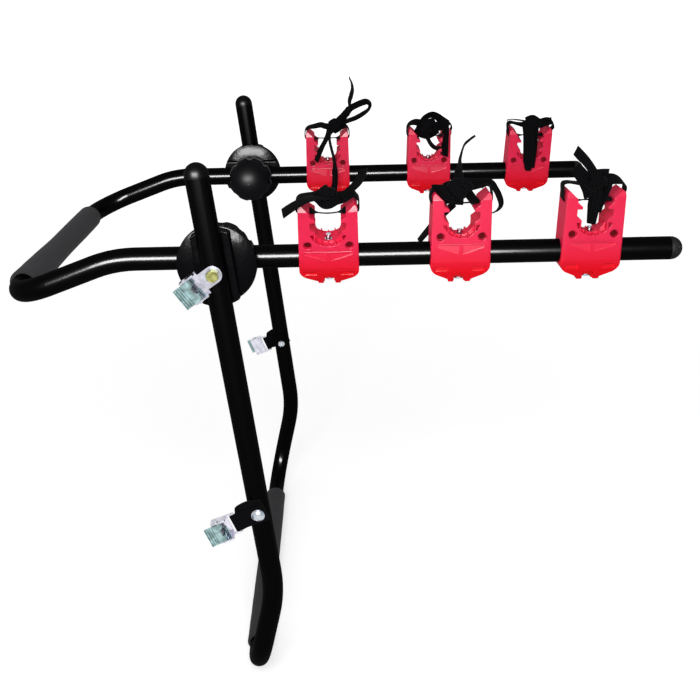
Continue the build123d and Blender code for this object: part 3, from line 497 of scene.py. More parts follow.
# Yellow passivated zinc: brassy with an olive and a greenish blush.
YELLOW_ZINC = Passivated(
    "yellow_passivated_zinc", "yellow_zinc", "#8C8846", "#55541F", 0.2,
    metallic=1.0, mottle=5 * MM, grain=1 * MM, edge=0.9 * MM, blush="#C4C27C",
)
# Bright clear zinc on screws, washers and dome heads.
BRIGHT_ZINC = Passivated(
    "bright_zinc_plated_steel", "zinc", "#D5D7DB", "#B2B5BD", 0.24,
    metallic=1.0, mottle=5 * MM, grain=1 * MM, edge=0.5 * MM, blush="#A7B4C0",
)
# The shell screws' steel, dark red: painted shade of the dimples round them, with a painted reflection of
# their red.
SCREW_IN_PAINTED_SHADE = Finish(
    "dark_phosphated_steel", "dark_phosphate", "#7A1A22", "#5A1218", 0.5,
    metallic=1.0, grain=0.8 * MM, edge=0.4 * MM,
)
# Impact-modified polypropylene, injection moulded and glossy: saturated red. Its pink upper colour is a
# painted reflection of something white, and its deeper red below the arm is painted shade.
RED_PLASTIC = Shaded(
    "red_moulded_polypropylene", "cradle_plastic", "#F62D57", "#EE254C", 0.27,
    specular=0.0, skin=0.11, mottle=26 * MM, grain=6 * MM, relief=0.03 * MM, edge=0.8 * MM,
)
# Woven polypropylene webbing: black with a soft sheen. Real yarns are under a millimetre apart, so
# the weave is drawn three times as coarse.
# Its tint is a painted highlight on the crowns of the yarns.
WEBBING = Woven(
    "woven_polypropylene_webbing", "webbing", "#070708", "#1B1B1E", 0.7,
    specular=0.0, skin=0.03, relief=0.2 * MM,
)
# Blue-white passivated zinc on pressed steel: bright silver with a lilac blush.
BUCKLE_PLATE = Passivated(
    "blue_white_zinc_on_pressed_steel", "buckle_zinc", "#D2D2DA", "#A5A6B2", 0.15,
    metallic=1.0, mottle=8 * MM, grain=2 * MM, edge=0.5 * MM, blush="#DAD8E6",
)
# The same passivation on the die-cast lever: thicker, so it looks teal, over fine slanting ribs.
CAM_LEVER = Passivated(
    "blue_white_zinc_on_die_casting", "buckle_zinc", "#8DA3A3", "#6C8786", 0.3,
    metallic=1.0, mottle=6 * MM, grain=1 * MM, relief=0.08 * MM, edge=0.4 * MM,
    blush="#A9C6C8", lines=1.4 * MM,
)
# Hard-drawn spring wire: dark and bright.
SPRING_WIRE = Finish(
    "drawn_spring_steel", "spring_steel", "#85868C", "#6A6B72", 0.28, metallic=1.0, grain=0.6 * MM
)


def dress(nodes: list[str], finish: Finish) -> None:
    """Give CAD nodes their finish.

    Args:
        nodes: names of CAD nodes that are shown as they are.
        finish: what they are made of.
    """
    for name in nodes:
        slots = frame["nodes"][name].data.materials
        slots.clear()
        slots.append(finish.material())
        log.info("%s: %s", name, finish.name)


def place_piece(piece: bpy.types.Object, body: str, finish: Finish, *nodes: str) -> None:
    """Put a new piece in the scene in place of CAD nodes.

    Args:
        piece: the object, with its mesh already in the carrier's own frame.
        body: the CAD body that it moves with.
        finish: what it is made of.
        *nodes: the CAD nodes that it stands for.
    """
    piece.data.materials.append(finish.material())
    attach(piece, body)
    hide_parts(*nodes)
    log.info("%s: %s, rides on %s", piece.name, finish.name, body)


def mesh_piece(name: str, mesh: bmesh.types.BMesh, crease: float = 40.0) -> bpy.types.Object:
    """Make an object of a mesh, smooth but for its sharp edges.

    Args:
        name: the piece's name.
        mesh: its surface, which this call uses up.
        crease: edges that turn by more than so many degrees stay sharp.

    Returns:
        The object, linked into the scene.
    """
    bmesh.ops.recalc_face_normals(mesh, faces=mesh.faces)
    data = bpy.data.meshes.new(name)
    mesh.to_mesh(data)
    mesh.free()
    data.shade_smooth()
    data.set_sharp_from_angle(angle=math.radians(crease))
    made = bpy.data.objects.new(name, data)
    bpy.context.scene.collection.objects.link(made)
    return made


def smooth(points: list[tuple[float, ...]], per_span: int) -> list[tuple[float, ...]]:
    """Points on a smooth curve through the given ones, with every number blended alike.

    Args:
        points: tuples of the same length.
        per_span: how many points each span between two given ones gets.

    Returns:
        The denser points, with the last given one at the end.
    """
    last = len(points) - 1
    found = []
    for i in range(last):
        near = [points[min(max(k, 0), last)] for k in (i - 1, i, i + 1, i + 2)]
        for k in range(per_span):
            # The weights of a cubic that leaves each point along the line between its neighbours.
            t = k / per_span
            weights = (
                -0.5 * t + t**2 - 0.5 * t**3,
                1 - 2.5 * t**2 + 1.5 * t**3,
                0.5 * t + 2 * t**2 - 1.5 * t**3,
                -0.5 * t**2 + 0.5 * t**3,
            )
            found.append(tuple(sum(w * v for w, v in zip(weights, values)) for values in zip(*near)))
    found.append(tuple(points[-1]))
    return found


@dataclass
class Strip:
    """A flat woven strip that is swept along a line. Sizes are in metres.

    Attributes:
        width: its width.
        thickness: its thickness.
        cup: how far its middle bulges.
        lip: the thickness of its edges, as a share of the rest.
        columns: where across it the surface has points, as shares of half its width.
    """

    width: float = 16 * MM
    thickness: float = 1.3 * MM
    cup: float = 0.35 * MM
    lip: float = 0.35
    columns: tuple[float, ...] = (-1.0, -0.9, -0.45, 0.0, 0.45, 0.9, 1.0)

    def section(self) -> list[tuple[float, float]]:
        """The outline of its cross-section.

        Returns:
            Corners as (share of half the width, distance from the middle of the strip).
        """
        top = []
        for share in self.columns:
            half = self.thickness / 2 * (self.lip if abs(share) == 1.0 else 1.0)
            top.append((share, half, self.cup * (1 - share**2)))
        return [(s, h + c) for s, h, c in top] + [(s, -h + c) for s, h, c in reversed(top)]

    def sweep(
        self,
        mesh: bmesh.types.BMesh,
        line: list[Vector],
        sides: list[Vector],
        widths: list[float],
        closed: bool = False,
    ) -> None:
        """Add the strip to a mesh.

        Args:
            mesh: what to add it to.
            line: the middle of the strip, point by point.
            sides: the direction across the strip at each point.
            widths: its width at each point, in metres.
            closed: whether it is an endless band.
        """
        layer = mesh.loops.layers.uv.verify()
        section = self.section()
        count, around = len(line), len(section)
        rings, reach = [], [0.0]
        for i, (spot, side, width) in enumerate(zip(line, sides, widths)):
            ahead = line[(i + 1) % count] if closed or i + 1 < count else spot
            behind = line[i - 1] if closed or i else spot
            up = (ahead - behind).normalized().cross(side).normalized()
            rings.append([mesh.verts.new(spot + side * (s * width / 2) + up * h) for s, h in section])
            if i:
                reach.append(reach[-1] + (spot - line[i - 1]).length)
        reach.append(reach[-1] + (line[0] - line[-1]).length)
        for i in range(count if closed else count - 1):
            for k in range(around):
                n = (k + 1) % around
                loop = [(i, k), (i, n), (i + 1, n), (i + 1, k)]
                face = mesh.faces.new([rings[a % count][b] for a, b in loop])
                for corner, (a, b) in zip(face.loops, loop):
                    corner[layer].uv = (reach[a], section[b][0] * self.width / 2)
        if not closed:
            mesh.faces.new(rings[0])
            mesh.faces.new(list(reversed(rings[-1])))


@dataclass
class Run:
    """One stretch of webbing in a cradle's own frame, in millimetres and degrees.

    Attributes:
        points: its line. A turn of 0 shows the webbing's face to whoever looks along the photograph's
            view, and 90 its edge.
        width: its width.
        shape: its width as a share of the whole, at evenly spaced places along it.
        per_span: how many points each span between two given ones gets.
        flutter: how far its turn wavers.
        ripple: how far the wavering goes on from one given point to the next, in radians.
    """

    points: list[Turned]
    width: float = 16.0
    shape: tuple[float, ...] = (1.0, 1.0)
    per_span: int = 8
    flutter: float = 3.0
    ripple: float = 1.3

    def lay(self, mesh: bmesh.types.BMesh, facing: Vector) -> None:
        """Add the stretch to a mesh that is in metres.

        Args:
            mesh: what to add it to.
            facing: the direction in which it is looked at, in the cradle's own frame.
        """
        dense = smooth(self.points, self.per_span)
        spots = [Vector(p[:3]) * MM for p in dense]
        sides, widths = [], []
        last = len(dense) - 1
        for i in range(len(dense)):
            way = (spots[min(i + 1, last)] - spots[max(i - 1, 0)]).normalized()
            level = way.cross(facing).normalized()
            across = way.cross(level).normalized()
            waver = self.flutter * math.sin(self.ripple * i / self.per_span + dense[0][0])
            turn = math.radians(dense[i][3] + waver)
            sides.append(level * math.cos(turn) + across * math.sin(turn))
            place = i / last * (len(self.shape) - 1)
            low = min(int(place), len(self.shape) - 2)
            share = self.shape[low] + (self.shape[low + 1] - self.shape[low]) * (place - low)
            widths.append(self.width * share * MM)
        Strip(width=self.width * MM).sweep(mesh, spots, sides, widths)


@dataclass
class Wrap:
    """One turn of webbing round the others in a knot, in a cradle's own frame.

    It is an oval band. Lengths are in millimetres and angles in degrees.

    Attributes:
        centre: its middle.
        deep: half its size from front to back.
        high: half its height.
        tilt: its tilt in the front view.
        yaw: its turn seen from above.
        width: the webbing's width in it.
        cup: how far the webbing's middle bulges.
        pinch: the share by which it departs from an even oval.
        twist: how far the webbing leans to and fro along it, as a slope.
        steps: how many points it has.
    """

    centre: tuple[float, float, float]
    deep: float
    high: float
    tilt: float = 0.0
    yaw: float = 0.0
    width: float = 14.0
    cup: float = 0.9
    pinch: float = 0.08
    twist: float = 0.12
    steps: int = 28

    def lay(self, mesh: bmesh.types.BMesh) -> None:
        """Add the turn to a mesh that is in metres.

        Args:
            mesh: what to add it to.
        """
        lean = Matrix.Rotation(math.radians(self.tilt), 3, "Y")
        turned = lean @ Matrix.Rotation(math.radians(self.yaw), 3, "Z")
        spots, sides = [], []
        for i in range(self.steps):
            angle = 2 * math.pi * i / self.steps
            swell = 1 + self.pinch * math.sin(3 * angle + self.tilt)
            oval = Vector((0, self.deep * math.cos(angle) * swell, self.high * math.sin(angle) * swell))
            spots.append((Vector(self.centre) + turned @ oval) * MM)
            sides.append((turned @ Vector((1, self.twist * math.sin(2 * angle), 0))).normalized())
        strip = Strip(width=self.width * MM, cup=self.cup * MM)
        strip.sweep(mesh, spots, sides, [strip.width] * self.steps, closed=True)


@dataclass
class TieStrap:
    """The webbing that ties a bicycle down in one cradle, in millimetres and degrees.

    Its loop goes through both slots and over both prong tips, and its ends meet in a knot above the
    notch.

    Attributes:
        side: the arm that its cradle is on.
        number: the cradle's number, from the hub.
        left: the loop's way from the knot to the left tip.
        right: its way from the right tip back to the knot.
        runs: the loose stretches.
        knot: the turns of the knot.
        sag: how far the loop hangs between the prongs.
        notch_turn: its turn there.
        slot_z: the height of the slots.
        slot_x: where it leaves them, from the notch's middle.
    """

    side: Side
    number: int
    left: list[Turned]
    right: list[Turned]
    runs: list[Run]
    knot: list[Wrap]
    sag: float = 3.0
    notch_turn: float = 74.0
    slot_z: float = 61.9
    slot_x: float = 11.0

    def loop(self) -> Run:
        """The closed part, from the knot down over the left tip and back over the right one.

        Returns:
            Its line, with the webbing on edge.
        """
        # Down a prong's outside and in through its slot, as (distance from the middle, height).
        outside = [(35.9, 70.5), (35.8, 64.6), (33.4, 62.1), (28.0, self.slot_z), (20.5, self.slot_z - 0.6)]
        down = [(-x, 0.0, z, 90.0) for x, z in outside]
        up = [(x, 0.0, z, 90.0) for x, z in reversed(outside)]
        hangs = ((-self.slot_x, 0.75 * self.sag), (0.0, self.sag), (self.slot_x, 0.75 * self.sag))
        across = [(x, 0.0, self.slot_z - drop, self.notch_turn) for x, drop in hangs]
        return Run(self.left + down + across + up + self.right, flutter=0.0)

    def build(self, place: Matrix) -> bpy.types.Object:
        """Make the strap.

        Args:
            place: the cradle's place and lean in the carrier's frame.

        Returns:
            One piece with the loop, the knot and the loose runs.
        """
        mesh = bmesh.new()
        self.loop().lay(mesh, Vector((0, 1, 0)))
        facing = place.to_3x3().inverted() @ Vector(VIEW)
        for run in self.runs:
            run.lay(mesh, facing)
        for turn in self.knot:
            turn.lay(mesh)
        mesh.transform(place)
        return mesh_piece(f"tie_strap_{self.number}_{self.side.word}", mesh)


# The webbing of each cradle, laid out as it lies in the photograph. In a cradle's own frame X runs back
# along the arm, Y to the right and Z up, from the middle of the arm.
TIE_STRAPS = [
    TieStrap(
        Side.LEFT, 1,
        left=[
            (-4, -6, 84, 60), (-14, -4, 82, 75), (-24, -1, 80.5, 90), (-31, 0, 78.6, 90),
            (-34.8, 0, 75.2, 90),
        ],
        right=[
            (35.6, 0, 75.2, 90), (32.5, 0, 79.8, 90), (27.6, 0, 82.4, 80), (18, -4, 80.5, 60),
            (8, -8, 80, 50),
        ],
        runs=[
            Run([
                (6, -12, 85, 58), (-4, -17, 87, 56), (-14, -20.5, 88.2, 55), (-24, -22, 86.8, 54),
                (-33, -22.5, 82.4, 48), (-42, -22.5, 76.8, 42), (-50.6, -22.5, 70.4, 38),
            ]),
            Run([
                (-14, -14, 90, 40), (-8, -18, 86, 30), (-2.7, -20, 81.5, 25), (4, -19.5, 82, 30),
                (13, -14, 85.5, 40),
            ], width=14),
            Run([
                (-2, -12, 80, 54), (6, -11, 79, 60), (13, -8, 80.5, 64), (20, -4, 83.6, 66),
                (28, -1, 88.8, 68), (34.5, 0, 95.4, 66), (38.8, 0, 103, 60), (41.2, 0, 112.2, 52),
            ]),
        ],
        knot=[
            Wrap((1, -10, 86), 8, 8.5, tilt=14, width=15),
            Wrap((0, -10.5, 86.5), 9, 10, tilt=-36, yaw=12, width=13),
            Wrap((4, -9, 84), 7, 7, tilt=62, width=12),
        ],
        sag=4.6, notch_turn=62.0,
    ),
    TieStrap(
        Side.LEFT, 2,
        left=[
            (-6, -7, 78, 45), (-16, -5, 79, 60), (-26, -2, 79.6, 80), (-31.5, 0, 78.6, 90),
            (-34.8, 0, 75.2, 90),
        ],
        right=[
            (35.2, 0, 75.2, 90), (33.5, 0, 79.8, 90), (26, -2, 83.4, 84), (15, -6, 83.4, 76),
            (4, -8, 82, 60),
        ],
        runs=[
            Run([
                (-33, -2, 77.5, 72), (-27, -6, 76.5, 46), (-19, -10, 73, 24), (-9, -11, 69.5, 14),
                (2, -11, 68.5, 20),
            ]),
            Run([
                (-12, -10, 79, 30), (-3, -11, 84, 20), (8, -10, 84, 36), (19, -7, 84, 58),
                (31, -2, 84.6, 68),
            ]),
            Run([(-20, -6, 81.5, 60), (-12, -9, 84, 40), (-2, -11, 86, 30), (8, -9, 85, 40)], width=12),
            Run([(0, -10, 82, 40), (7, -10, 74, 45), (13, -9, 66.5, 50), (17, -6, 61.5, 55)], width=13),
            Run([
                (-4, -10, 83, 20), (-3.4, -5, 91, 36), (-3.1, 0, 98, 54), (-2.8, 0, 105.1, 66),
                (-2.2, 0, 113.3, 73), (1.7, 0, 127.1, 82), (8.4, 0, 133.9, 88), (14.1, 0, 137.8, 90),
            ], shape=(1.0, 1.0, 0.95, 0.8, 0.5)),
            Run([
                (24, -3, 83, 60), (30.5, -1, 84.6, 74), (36, 0, 82, 78), (40.4, 0, 76.2, 79),
                (44.2, 0, 69.4, 79), (47, 0, 61.6, 79), (47, 0, 55.4, 80), (43.9, 0, 50.6, 82),
                (39.8, 0, 48, 84), (36.6, 0, 47, 86),
            ], flutter=1.0),
            Run([(-4, 20.5, 55, 54), (-18, 23.5, 40.5, 58), (-31, 24, 26, 62), (-46, 24, 7.5, 66)]),
        ],
        knot=[
            Wrap((-3, -10, 80), 8, 10, tilt=8, width=16),
            Wrap((-6, -11, 79), 9, 11, tilt=-42, width=14),
            Wrap((3, -9.5, 80), 8, 9, tilt=50, yaw=-10, width=13),
        ],
        sag=1.5,
    ),
    TieStrap(
        Side.LEFT, 3,
        left=[
            (-3, -6, 84, 60), (-12, -3, 81, 80), (-22, -1, 81.6, 88), (-31, 0, 82.6, 90),
            (-36.4, 0, 80.4, 90),
        ],
        right=[
            (36.4, 0, 76.5, 90), (33, 0, 82, 80), (26, -2, 85.2, 60), (17, -5, 86.4, 50), (7, -8, 86, 45),
        ],
        runs=[
            Run([
                (6, -10, 80, 30), (0, -8, 89, 32), (-6, -4, 99, 32), (-12.7, -1, 107.5, 32),
                (-18.6, 0, 113.2, 30), (-24.6, 0, 119.2, 30),
            ]),
            Run([(-11, -9, 90, 42), (-4, -11, 91.6, 40), (4, -11, 92, 38), (12.5, -10, 91.6, 36)]),
            Run([
                (-25, -1, 99, 48), (-19, -3, 94, 34), (-13, -6, 86, 28), (-8, -9, 76, 30),
                (-5, -10, 66, 40),
            ]),
            Run([
                (-2, -9, 88, 30), (-1, -11, 78, 30), (0, -11.5, 68, 31), (-0.8, -11, 56.7, 31),
                (-1.6, -10, 34.6, 33),
            ], shape=(1.0, 1.0, 1.0, 0.95, 0.66)),
            Run([
                (12, -8, 87, 40), (11.5, -9, 79, 42), (8.5, -9, 69, 44), (4.5, -8.5, 58, 46),
                (2.5, -8, 50, 50),
            ]),
        ],
        knot=[
            Wrap((-1, -10, 86), 8, 8.5, tilt=-10, width=14),
            Wrap((-2, -10.5, 85.5), 8.5, 9.5, tilt=38, width=13),
            Wrap((3, -9, 85), 7, 8, tilt=80, width=11),
        ],
        sag=0.5,
    ),
    TieStrap(
        Side.RIGHT, 1,
        left=[
            (8, -8, 82, 60), (-2, -6, 82.4, 70), (-10, -4, 84, 72), (-20, -2, 81.8, 76), (-30, 0, 79.4, 84),
            (-35, 0, 75.6, 90),
        ],
        right=[(35.2, 0, 75.4, 90), (32.6, 0, 79.6, 90), (26.5, -1, 81.8, 70), (18, -6, 82, 50)],
        runs=[
            Run([
                (4, -10, 77, 40), (14, -8, 84.5, 40), (22, -5, 91.5, 44), (29.5, -2, 99, 50),
                (37.5, 0, 108.5, 56),
            ]),
            Run([
                (31, -1, 101, 55), (38.5, 0, 108.6, 64), (51, 0, 115, 66), (61.4, 0, 118.6, 68),
                (67.4, 0, 117, 72), (69.8, 0, 111.6, 74), (67.4, 0, 106, 62), (60.7, 0, 100.8, 52),
                (47.6, 0, 93.5, 50), (34.6, 0, 88.9, 52), (24, -3, 85.6, 50),
            ], flutter=1.5),
            Run([
                (32, -1, 99, 60), (36.6, 0, 105.5, 72), (37.5, 0, 112, 76), (37.8, 0, 121, 74),
                (40.2, 0, 130, 72), (42, 0, 139.1, 71), (41, 0, 148.5, 73), (37.4, 0, 157.4, 78),
            ]),
            Run([
                (10, -13, 87, 30), (5.6, -17.5, 79.5, 40), (1.8, -20, 72.1, 50), (-3, -20.5, 62.5, 52),
                (-8.1, -20.6, 53.2, 52), (-14, -20.8, 41.5, 50), (-19.9, -21, 29.7, 49),
            ]),
            Run([
                (8, -14, 80, 60), (4.6, -18.5, 70, 76), (4.4, -20.6, 61, 79), (7.2, -21.4, 47, 79),
                (10.2, -21.8, 33.5, 76), (11.2, -22, 21, 62), (11.2, -22, 8.2, 50), (10.4, -21.6, -6, 48),
                (9, -21, -20.3, 47),
            ], flutter=1.0),
        ],
        knot=[
            Wrap((13, -9, 83.5), 8, 9, tilt=24, width=15),
            Wrap((13, -9.5, 84), 8.5, 10, tilt=-30, width=13),
            Wrap((10, -9, 80), 7, 8, tilt=72, width=12),
        ],
        sag=0.6,
    ),
    TieStrap(
        Side.RIGHT, 2,
        left=[(-2, -8, 74, 40), (-10, -6, 80, 45), (-20, -3, 84, 60), (-29, 0, 82.4, 76), (-35, 0, 77, 88)],
        right=[
            (37, 0, 74, 90), (35.4, 0, 79.4, 88), (29.5, -1, 81.6, 70), (22, -6, 82, 50), (12, -8, 78, 45),
        ],
        runs=[
            Run([
                (-14, -8, 76, 40), (-12, -7, 86, 62), (-5.5, -5, 92.5, 66), (3.5, -4, 95.6, 66),
                (11.5, -4, 93, 64), (19.5, -5, 87, 56), (28, -4, 80.5, 46),
            ]),
            Run([
                (-20, -6, 80, 30), (-10, -10, 76, 20), (0, -11, 73, 25), (9, -10, 74.5, 40),
                (18, -10, 79.5, 46),
            ]),
            Run([
                (-24, -4, 70, 50), (-14, -8, 65.5, 42), (-4, -10, 63.4, 40), (5, -9, 65.5, 50),
                (14, -8, 71, 56),
            ], width=12),
            Run([(-8, -10, 88, 35), (0, -11, 83, 40), (6, -11, 74, 50), (13, -10, 66, 60)], width=11),
            Run([
                (17, -10, 86.5, 40), (23.4, -16.5, 83, 46), (24.8, -20.5, 74, 50), (24.7, -21.4, 60, 50),
                (24.5, -21.6, 46, 50), (24.2, -21.6, 32.2, 50),
            ], flutter=1.5),
            Run([
                (-4, -9, 63, 70), (-1, -9.5, 56, 80), (3.8, -10, 48.6, 80), (9, -10.5, 44, 80),
                (14.4, -12, 42.4, 80), (21, -19, 44.6, 80),
            ], flutter=1.0),
        ],
        knot=[
            Wrap((-5, -9, 80), 8, 9, tilt=30, width=14),
            Wrap((-6, -10, 79), 8, 9.5, tilt=-35, width=12),
            Wrap((2, -9, 85), 6, 6, tilt=70, width=9),
        ],
        sag=1.0,
    ),
    TieStrap(
        Side.RIGHT, 3,
        left=[
            (-4, -7, 82, 60), (-14, -4, 80, 80), (-24, -1, 81, 90), (-31.5, 0, 82.4, 90),
            (-36.4, 0, 79.6, 90),
        ],
        right=[
            (38.4, 0, 74.6, 90), (37, 0, 80.6, 82), (30, -1, 83.8, 60), (21, -4, 82.8, 50),
            (12, -7, 80, 46),
        ],
        runs=[
            Run([
                (2, -9, 85, 60), (-8, -7, 86, 68), (-20, -3, 87, 72), (-30.9, 0, 87.2, 76),
                (-38, 0, 85.9, 82),
            ], shape=(1, 1, 0.9, 0.5)),
            Run([
                (-8, -9, 86, 40), (0, -9, 89.6, 45), (7, -8, 86, 45), (14, -6, 80.8, 46),
                (23, -3, 82.4, 50), (33, 0, 82.5, 56),
            ]),
            Run([
                (-6, -13, 86, 10), (-6.2, -17.5, 79, 12), (-5, -20.4, 70, 14), (-3.6, -21, 56, 16),
                (-2.4, -21.2, 42, 16), (-1.2, -21.2, 26, 16), (0, -21.2, 7.4, 16),
            ], width=18, shape=(0.9, 1.0, 1.0, 1.0, 1.0, 1.0, 0.95, 0.5), flutter=1.0),
            Run([
                (5, -12, 84, 20), (4.6, -16, 76, 22), (4, -18.8, 66, 24), (4.4, -19, 50, 24),
                (4.2, -19.2, 32, 24), (3.6, -19.4, 12, 24),
            ], width=14, flutter=1.0),
        ],
        knot=[
            Wrap((0, -9, 84), 8, 8, tilt=6, width=15),
            Wrap((1, -9.5, 84.5), 8.5, 9, tilt=-40, width=13),
            Wrap((5, -8.5, 82), 7, 8, tilt=60, width=12),
        ],
        sag=0.8,
    ),
]


@dataclass
class Cradle:
    """One cradle on its arm: two red halves, their screws and the webbing. Lengths are in millimetres.

    Attributes:
        strap: its webbing, which also says where it sits.
        hub: the hub's place.
        arm_y: the arms' distance from the middle.
        spots: each cradle's distance from the hub.
        leans: each cradle's lean about its arm, in degrees.
    """

    strap: TieStrap
    hub: tuple[float, float, float] = (-11.1487, 0.0, 609.947)
    arm_y: float = 225.0
    spots: dict[Side, tuple[float, ...]] = field(
        default_factory=lambda: {Side.LEFT: (131.0, 287.0, 442.0), Side.RIGHT: (128.0, 295.0, 459.0)}
    )
    leans: dict[Side, tuple[float, ...]] = field(
        default_factory=lambda: {Side.LEFT: (15.0, 0.0, 0.0), Side.RIGHT: (6.0, 3.0, 9.0)}
    )

    def place(self) -> Matrix:
        """The cradle's place and lean.

        Returns:
            The matrix from its own frame to the carrier's, in metres.
        """
        side, i = self.strap.side, self.strap.number - 1
        spot = Vector(self.hub) + Vector((self.spots[side][i], side.value * self.arm_y, 0))
        return Matrix.Translation(spot * MM) @ Matrix.Rotation(math.radians(self.leans[side][i]), 4, "X")

    def build(self) -> None:
        """Dress the moulded halves and add the webbing."""
        side, number = self.strap.side.word, self.strap.number
        dress([f"cradle_{number}_{half}_half_{side}" for half in ("outboard", "inboard")], RED_PLASTIC)
        place_piece(self.strap.build(self.place()), "carrier", WEBBING, f"cradle_strap_{number}_{side}")


@dataclass
class FoamSleeve:
    """A foam sleeve on a cross bar, where its CAD node is, turned from a profile. Sizes are in metres.

    Attributes:
        name: the piece's name.
        node: the CAD node that it stands for.
        body: the body that it moves with.
        bore: the radius of its inside.
        wall: its thickness.
        waist: how much thinner its middle is.
        slim: how far the waist reaches, as a share of half the length.
        swell: how much thicker the near end is than the far one.
        dent: how uneven its skin is.
        dent_size: the size of the dents.
        end_round: the radius of its outer edges.
        round_steps: how many faces that radius has.
        around: how many faces it has around.
        along: how many it has along.
    """

    name: str
    node: str
    body: str
    bore: float = 14.15 * MM
    wall: float = 3.9 * MM
    waist: float = 0.0
    slim: float = 0.45
    swell: float = 0.0
    dent: float = 0.25 * MM
    dent_size: float = 26 * MM
    end_round: float = 2.2 * MM
    round_steps: int = 5
    around: int = 72
    along: int = 90

    def radius(self, share: float) -> float:
        """The outer radius at a share of the length, from the near end at -1 to the far one at 1."""
        thin = self.waist * math.exp(-((share / self.slim) ** 2))
        return self.bore + self.wall - thin - self.swell * share / 2

    def profile(self, half: float) -> list[tuple[float, float]]:
        """The closed outline of one wall, cut lengthwise.

        Args:
            half: half the sleeve's length, in metres.

        Returns:
            Corners as (distance along the bar from the middle, radius).
        """
        turns = [math.radians(90 * i / self.round_steps) for i in range(self.round_steps + 1)]
        ends = []
        for end in (-1, 1):
            rounding = [
                (
                    end * (half - self.end_round * (1 - math.sin(turn))),
                    self.radius(end) - self.end_round * (1 - math.cos(turn)),
                )
                for turn in reversed(turns)
            ]
            ends.append([(half * end, self.bore)] + rounding)
        shares = [2 * i / self.along - 1 for i in range(2, self.along - 1)]
        return ends[0] + [(half * share, self.radius(share)) for share in shares] + ends[1][::-1]

    def build(self) -> None:
        """Make the sleeve and put it in its node's place."""
        low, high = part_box(self.node)
        middle, half = (low + high) / 2, (high.y - low.y) / 2
        profile = self.profile(half)
        mesh = bmesh.new()
        rings = []
        for i in range(self.around):
            angle = 2 * math.pi * i / self.around
            out = Vector((math.cos(angle), 0, math.sin(angle)))
            ring = []
            for along, radius in profile:
                spot = out * radius + Vector((0, along, 0))
                if radius > self.bore + self.wall / 2:
                    spot += out * self.dent * noise.noise(spot * grains(self.dent_size))
                ring.append(mesh.verts.new(middle + spot))
            rings.append(ring)
        for i in range(self.around):
            for k in range(len(profile)):
                n, m = (i + 1) % self.around, (k + 1) % len(profile)
                mesh.faces.new([rings[i][k], rings[n][k], rings[n][m], rings[i][m]])
        piece = mesh_piece(self.name, mesh, crease=60)
        place_piece(piece, self.body, FOAM, self.node)


@dataclass
class WebbingTab:
    """The folded webbing between a lower bolt and its buckle: a front ply, and a rear one that fans out.

    Lengths are in millimetres, along the buckle's own axis from the bolt.

    Attributes:
        side: the leg that it is on.
        bolt: the bolt's place: back along X, out from the middle, and up.
        drop: how far that axis points below level, towards the car, in degrees.
        width: the webbing's width.
        ply: its thickness.
        reach: where the buckle's bar starts.
        bar: the bar's width.
        bar_gap: the webbing's clearance round it.
        plate: the bar's thickness.
        tail: how far the plies run on past the bolt.
        fan: how far the rear ply stands out from the front one's upper edge.
        steps: how many points each span of its line gets.
    """

    side: Side
    bolt: tuple[float, float, float] = (21.1269, 289.3, 287.157)
    drop: float = 21.0
    width: float = 25.0
    ply: float = 1.4
    reach: float = 28.5
    bar: float = 5.0
    bar_gap: float = 0.35
    plate: float = 2.0
    tail: float = 11.0
    fan: float = 8.0
    steps: int = 6

    def place(self) -> Matrix:
        """The tab's place.

        Returns:
            The matrix from its own frame, with its length along X and outward along Z, to the carrier's.
        """
        slope = math.radians(self.drop)
        along = Vector((-math.cos(slope), 0, -math.sin(slope)))
        outward = Vector((0, -1, 0))
        down = outward.cross(along)
        turn = Matrix((along, down, outward)).transposed().to_4x4()
        x, y, z = self.bolt
        left = Matrix.Translation(Vector((x, -y, z)) * MM) @ turn
        return left if self.side is Side.LEFT else Matrix.Scale(-1, 4, (0, 1, 0)) @ left

    def line(self) -> list[tuple[float, float, float]]:
        """The middle of the webbing, from one tail round the buckle's bar to the other.

        Returns:
            Places as (along the tab, outward, sideways), in millimetres.
        """
        low, high = 0.5 * self.ply + 0.05, 1.5 * self.ply + 0.15
        front = self.plate + 2 * self.bar_gap + self.ply + low
        turn_x = self.reach + self.bar + self.bar_gap + 0.5 * self.ply
        bar_x = self.reach + 0.4 * self.bar
        # The rear ply, from its tail to the bar. Its middle stands highest, where the two plies part.
        rear = [
            (-self.tail, low, -self.fan),
            (-self.tail / 2, low, -1.1 * self.fan),
            (4, low, -1.35 * self.fan),
            (14, low, -1.3 * self.fan),
            (self.reach - 5, low, -0.95 * self.fan),
            (self.reach - 1, low, 0),
        ]
        # Close round the bar, and down onto the rear ply.
        bend = [
            (bar_x, low, 0),
            (turn_x - 0.8, low + 0.5, 0),
            (turn_x, (low + front) / 2, 0),
            (turn_x - 0.8, front - 0.5, 0),
            (bar_x, front, 0),
            (self.reach - 2.5, (front + high) / 2 + 0.4, 0),
        ]
        front_ply = [(x, high, 0) for x in (self.reach - 8, 14, 4, -self.tail / 2, -self.tail)]
        return rear + bend + front_ply

    def build(self) -> None:
        """Make the tab as one strip that goes round the buckle's bar and back."""
        spots = [Vector((x, y, z)) * MM for x, z, y in smooth(self.line(), self.steps)]
        strip = Strip(width=self.width * MM, thickness=self.ply * MM, cup=0.0)
        mesh = bmesh.new()
        strip.sweep(mesh, spots, [Vector((0, 1, 0))] * len(spots), [strip.width] * len(spots))
        mesh.transform(self.place())
        piece = mesh_piece(f"buckle_webbing_{self.side.word}", mesh)
        place_piece(piece, f"lower_buckle_{self.side.word}", WEBBING, f"webbing_tab_{self.side.word}")


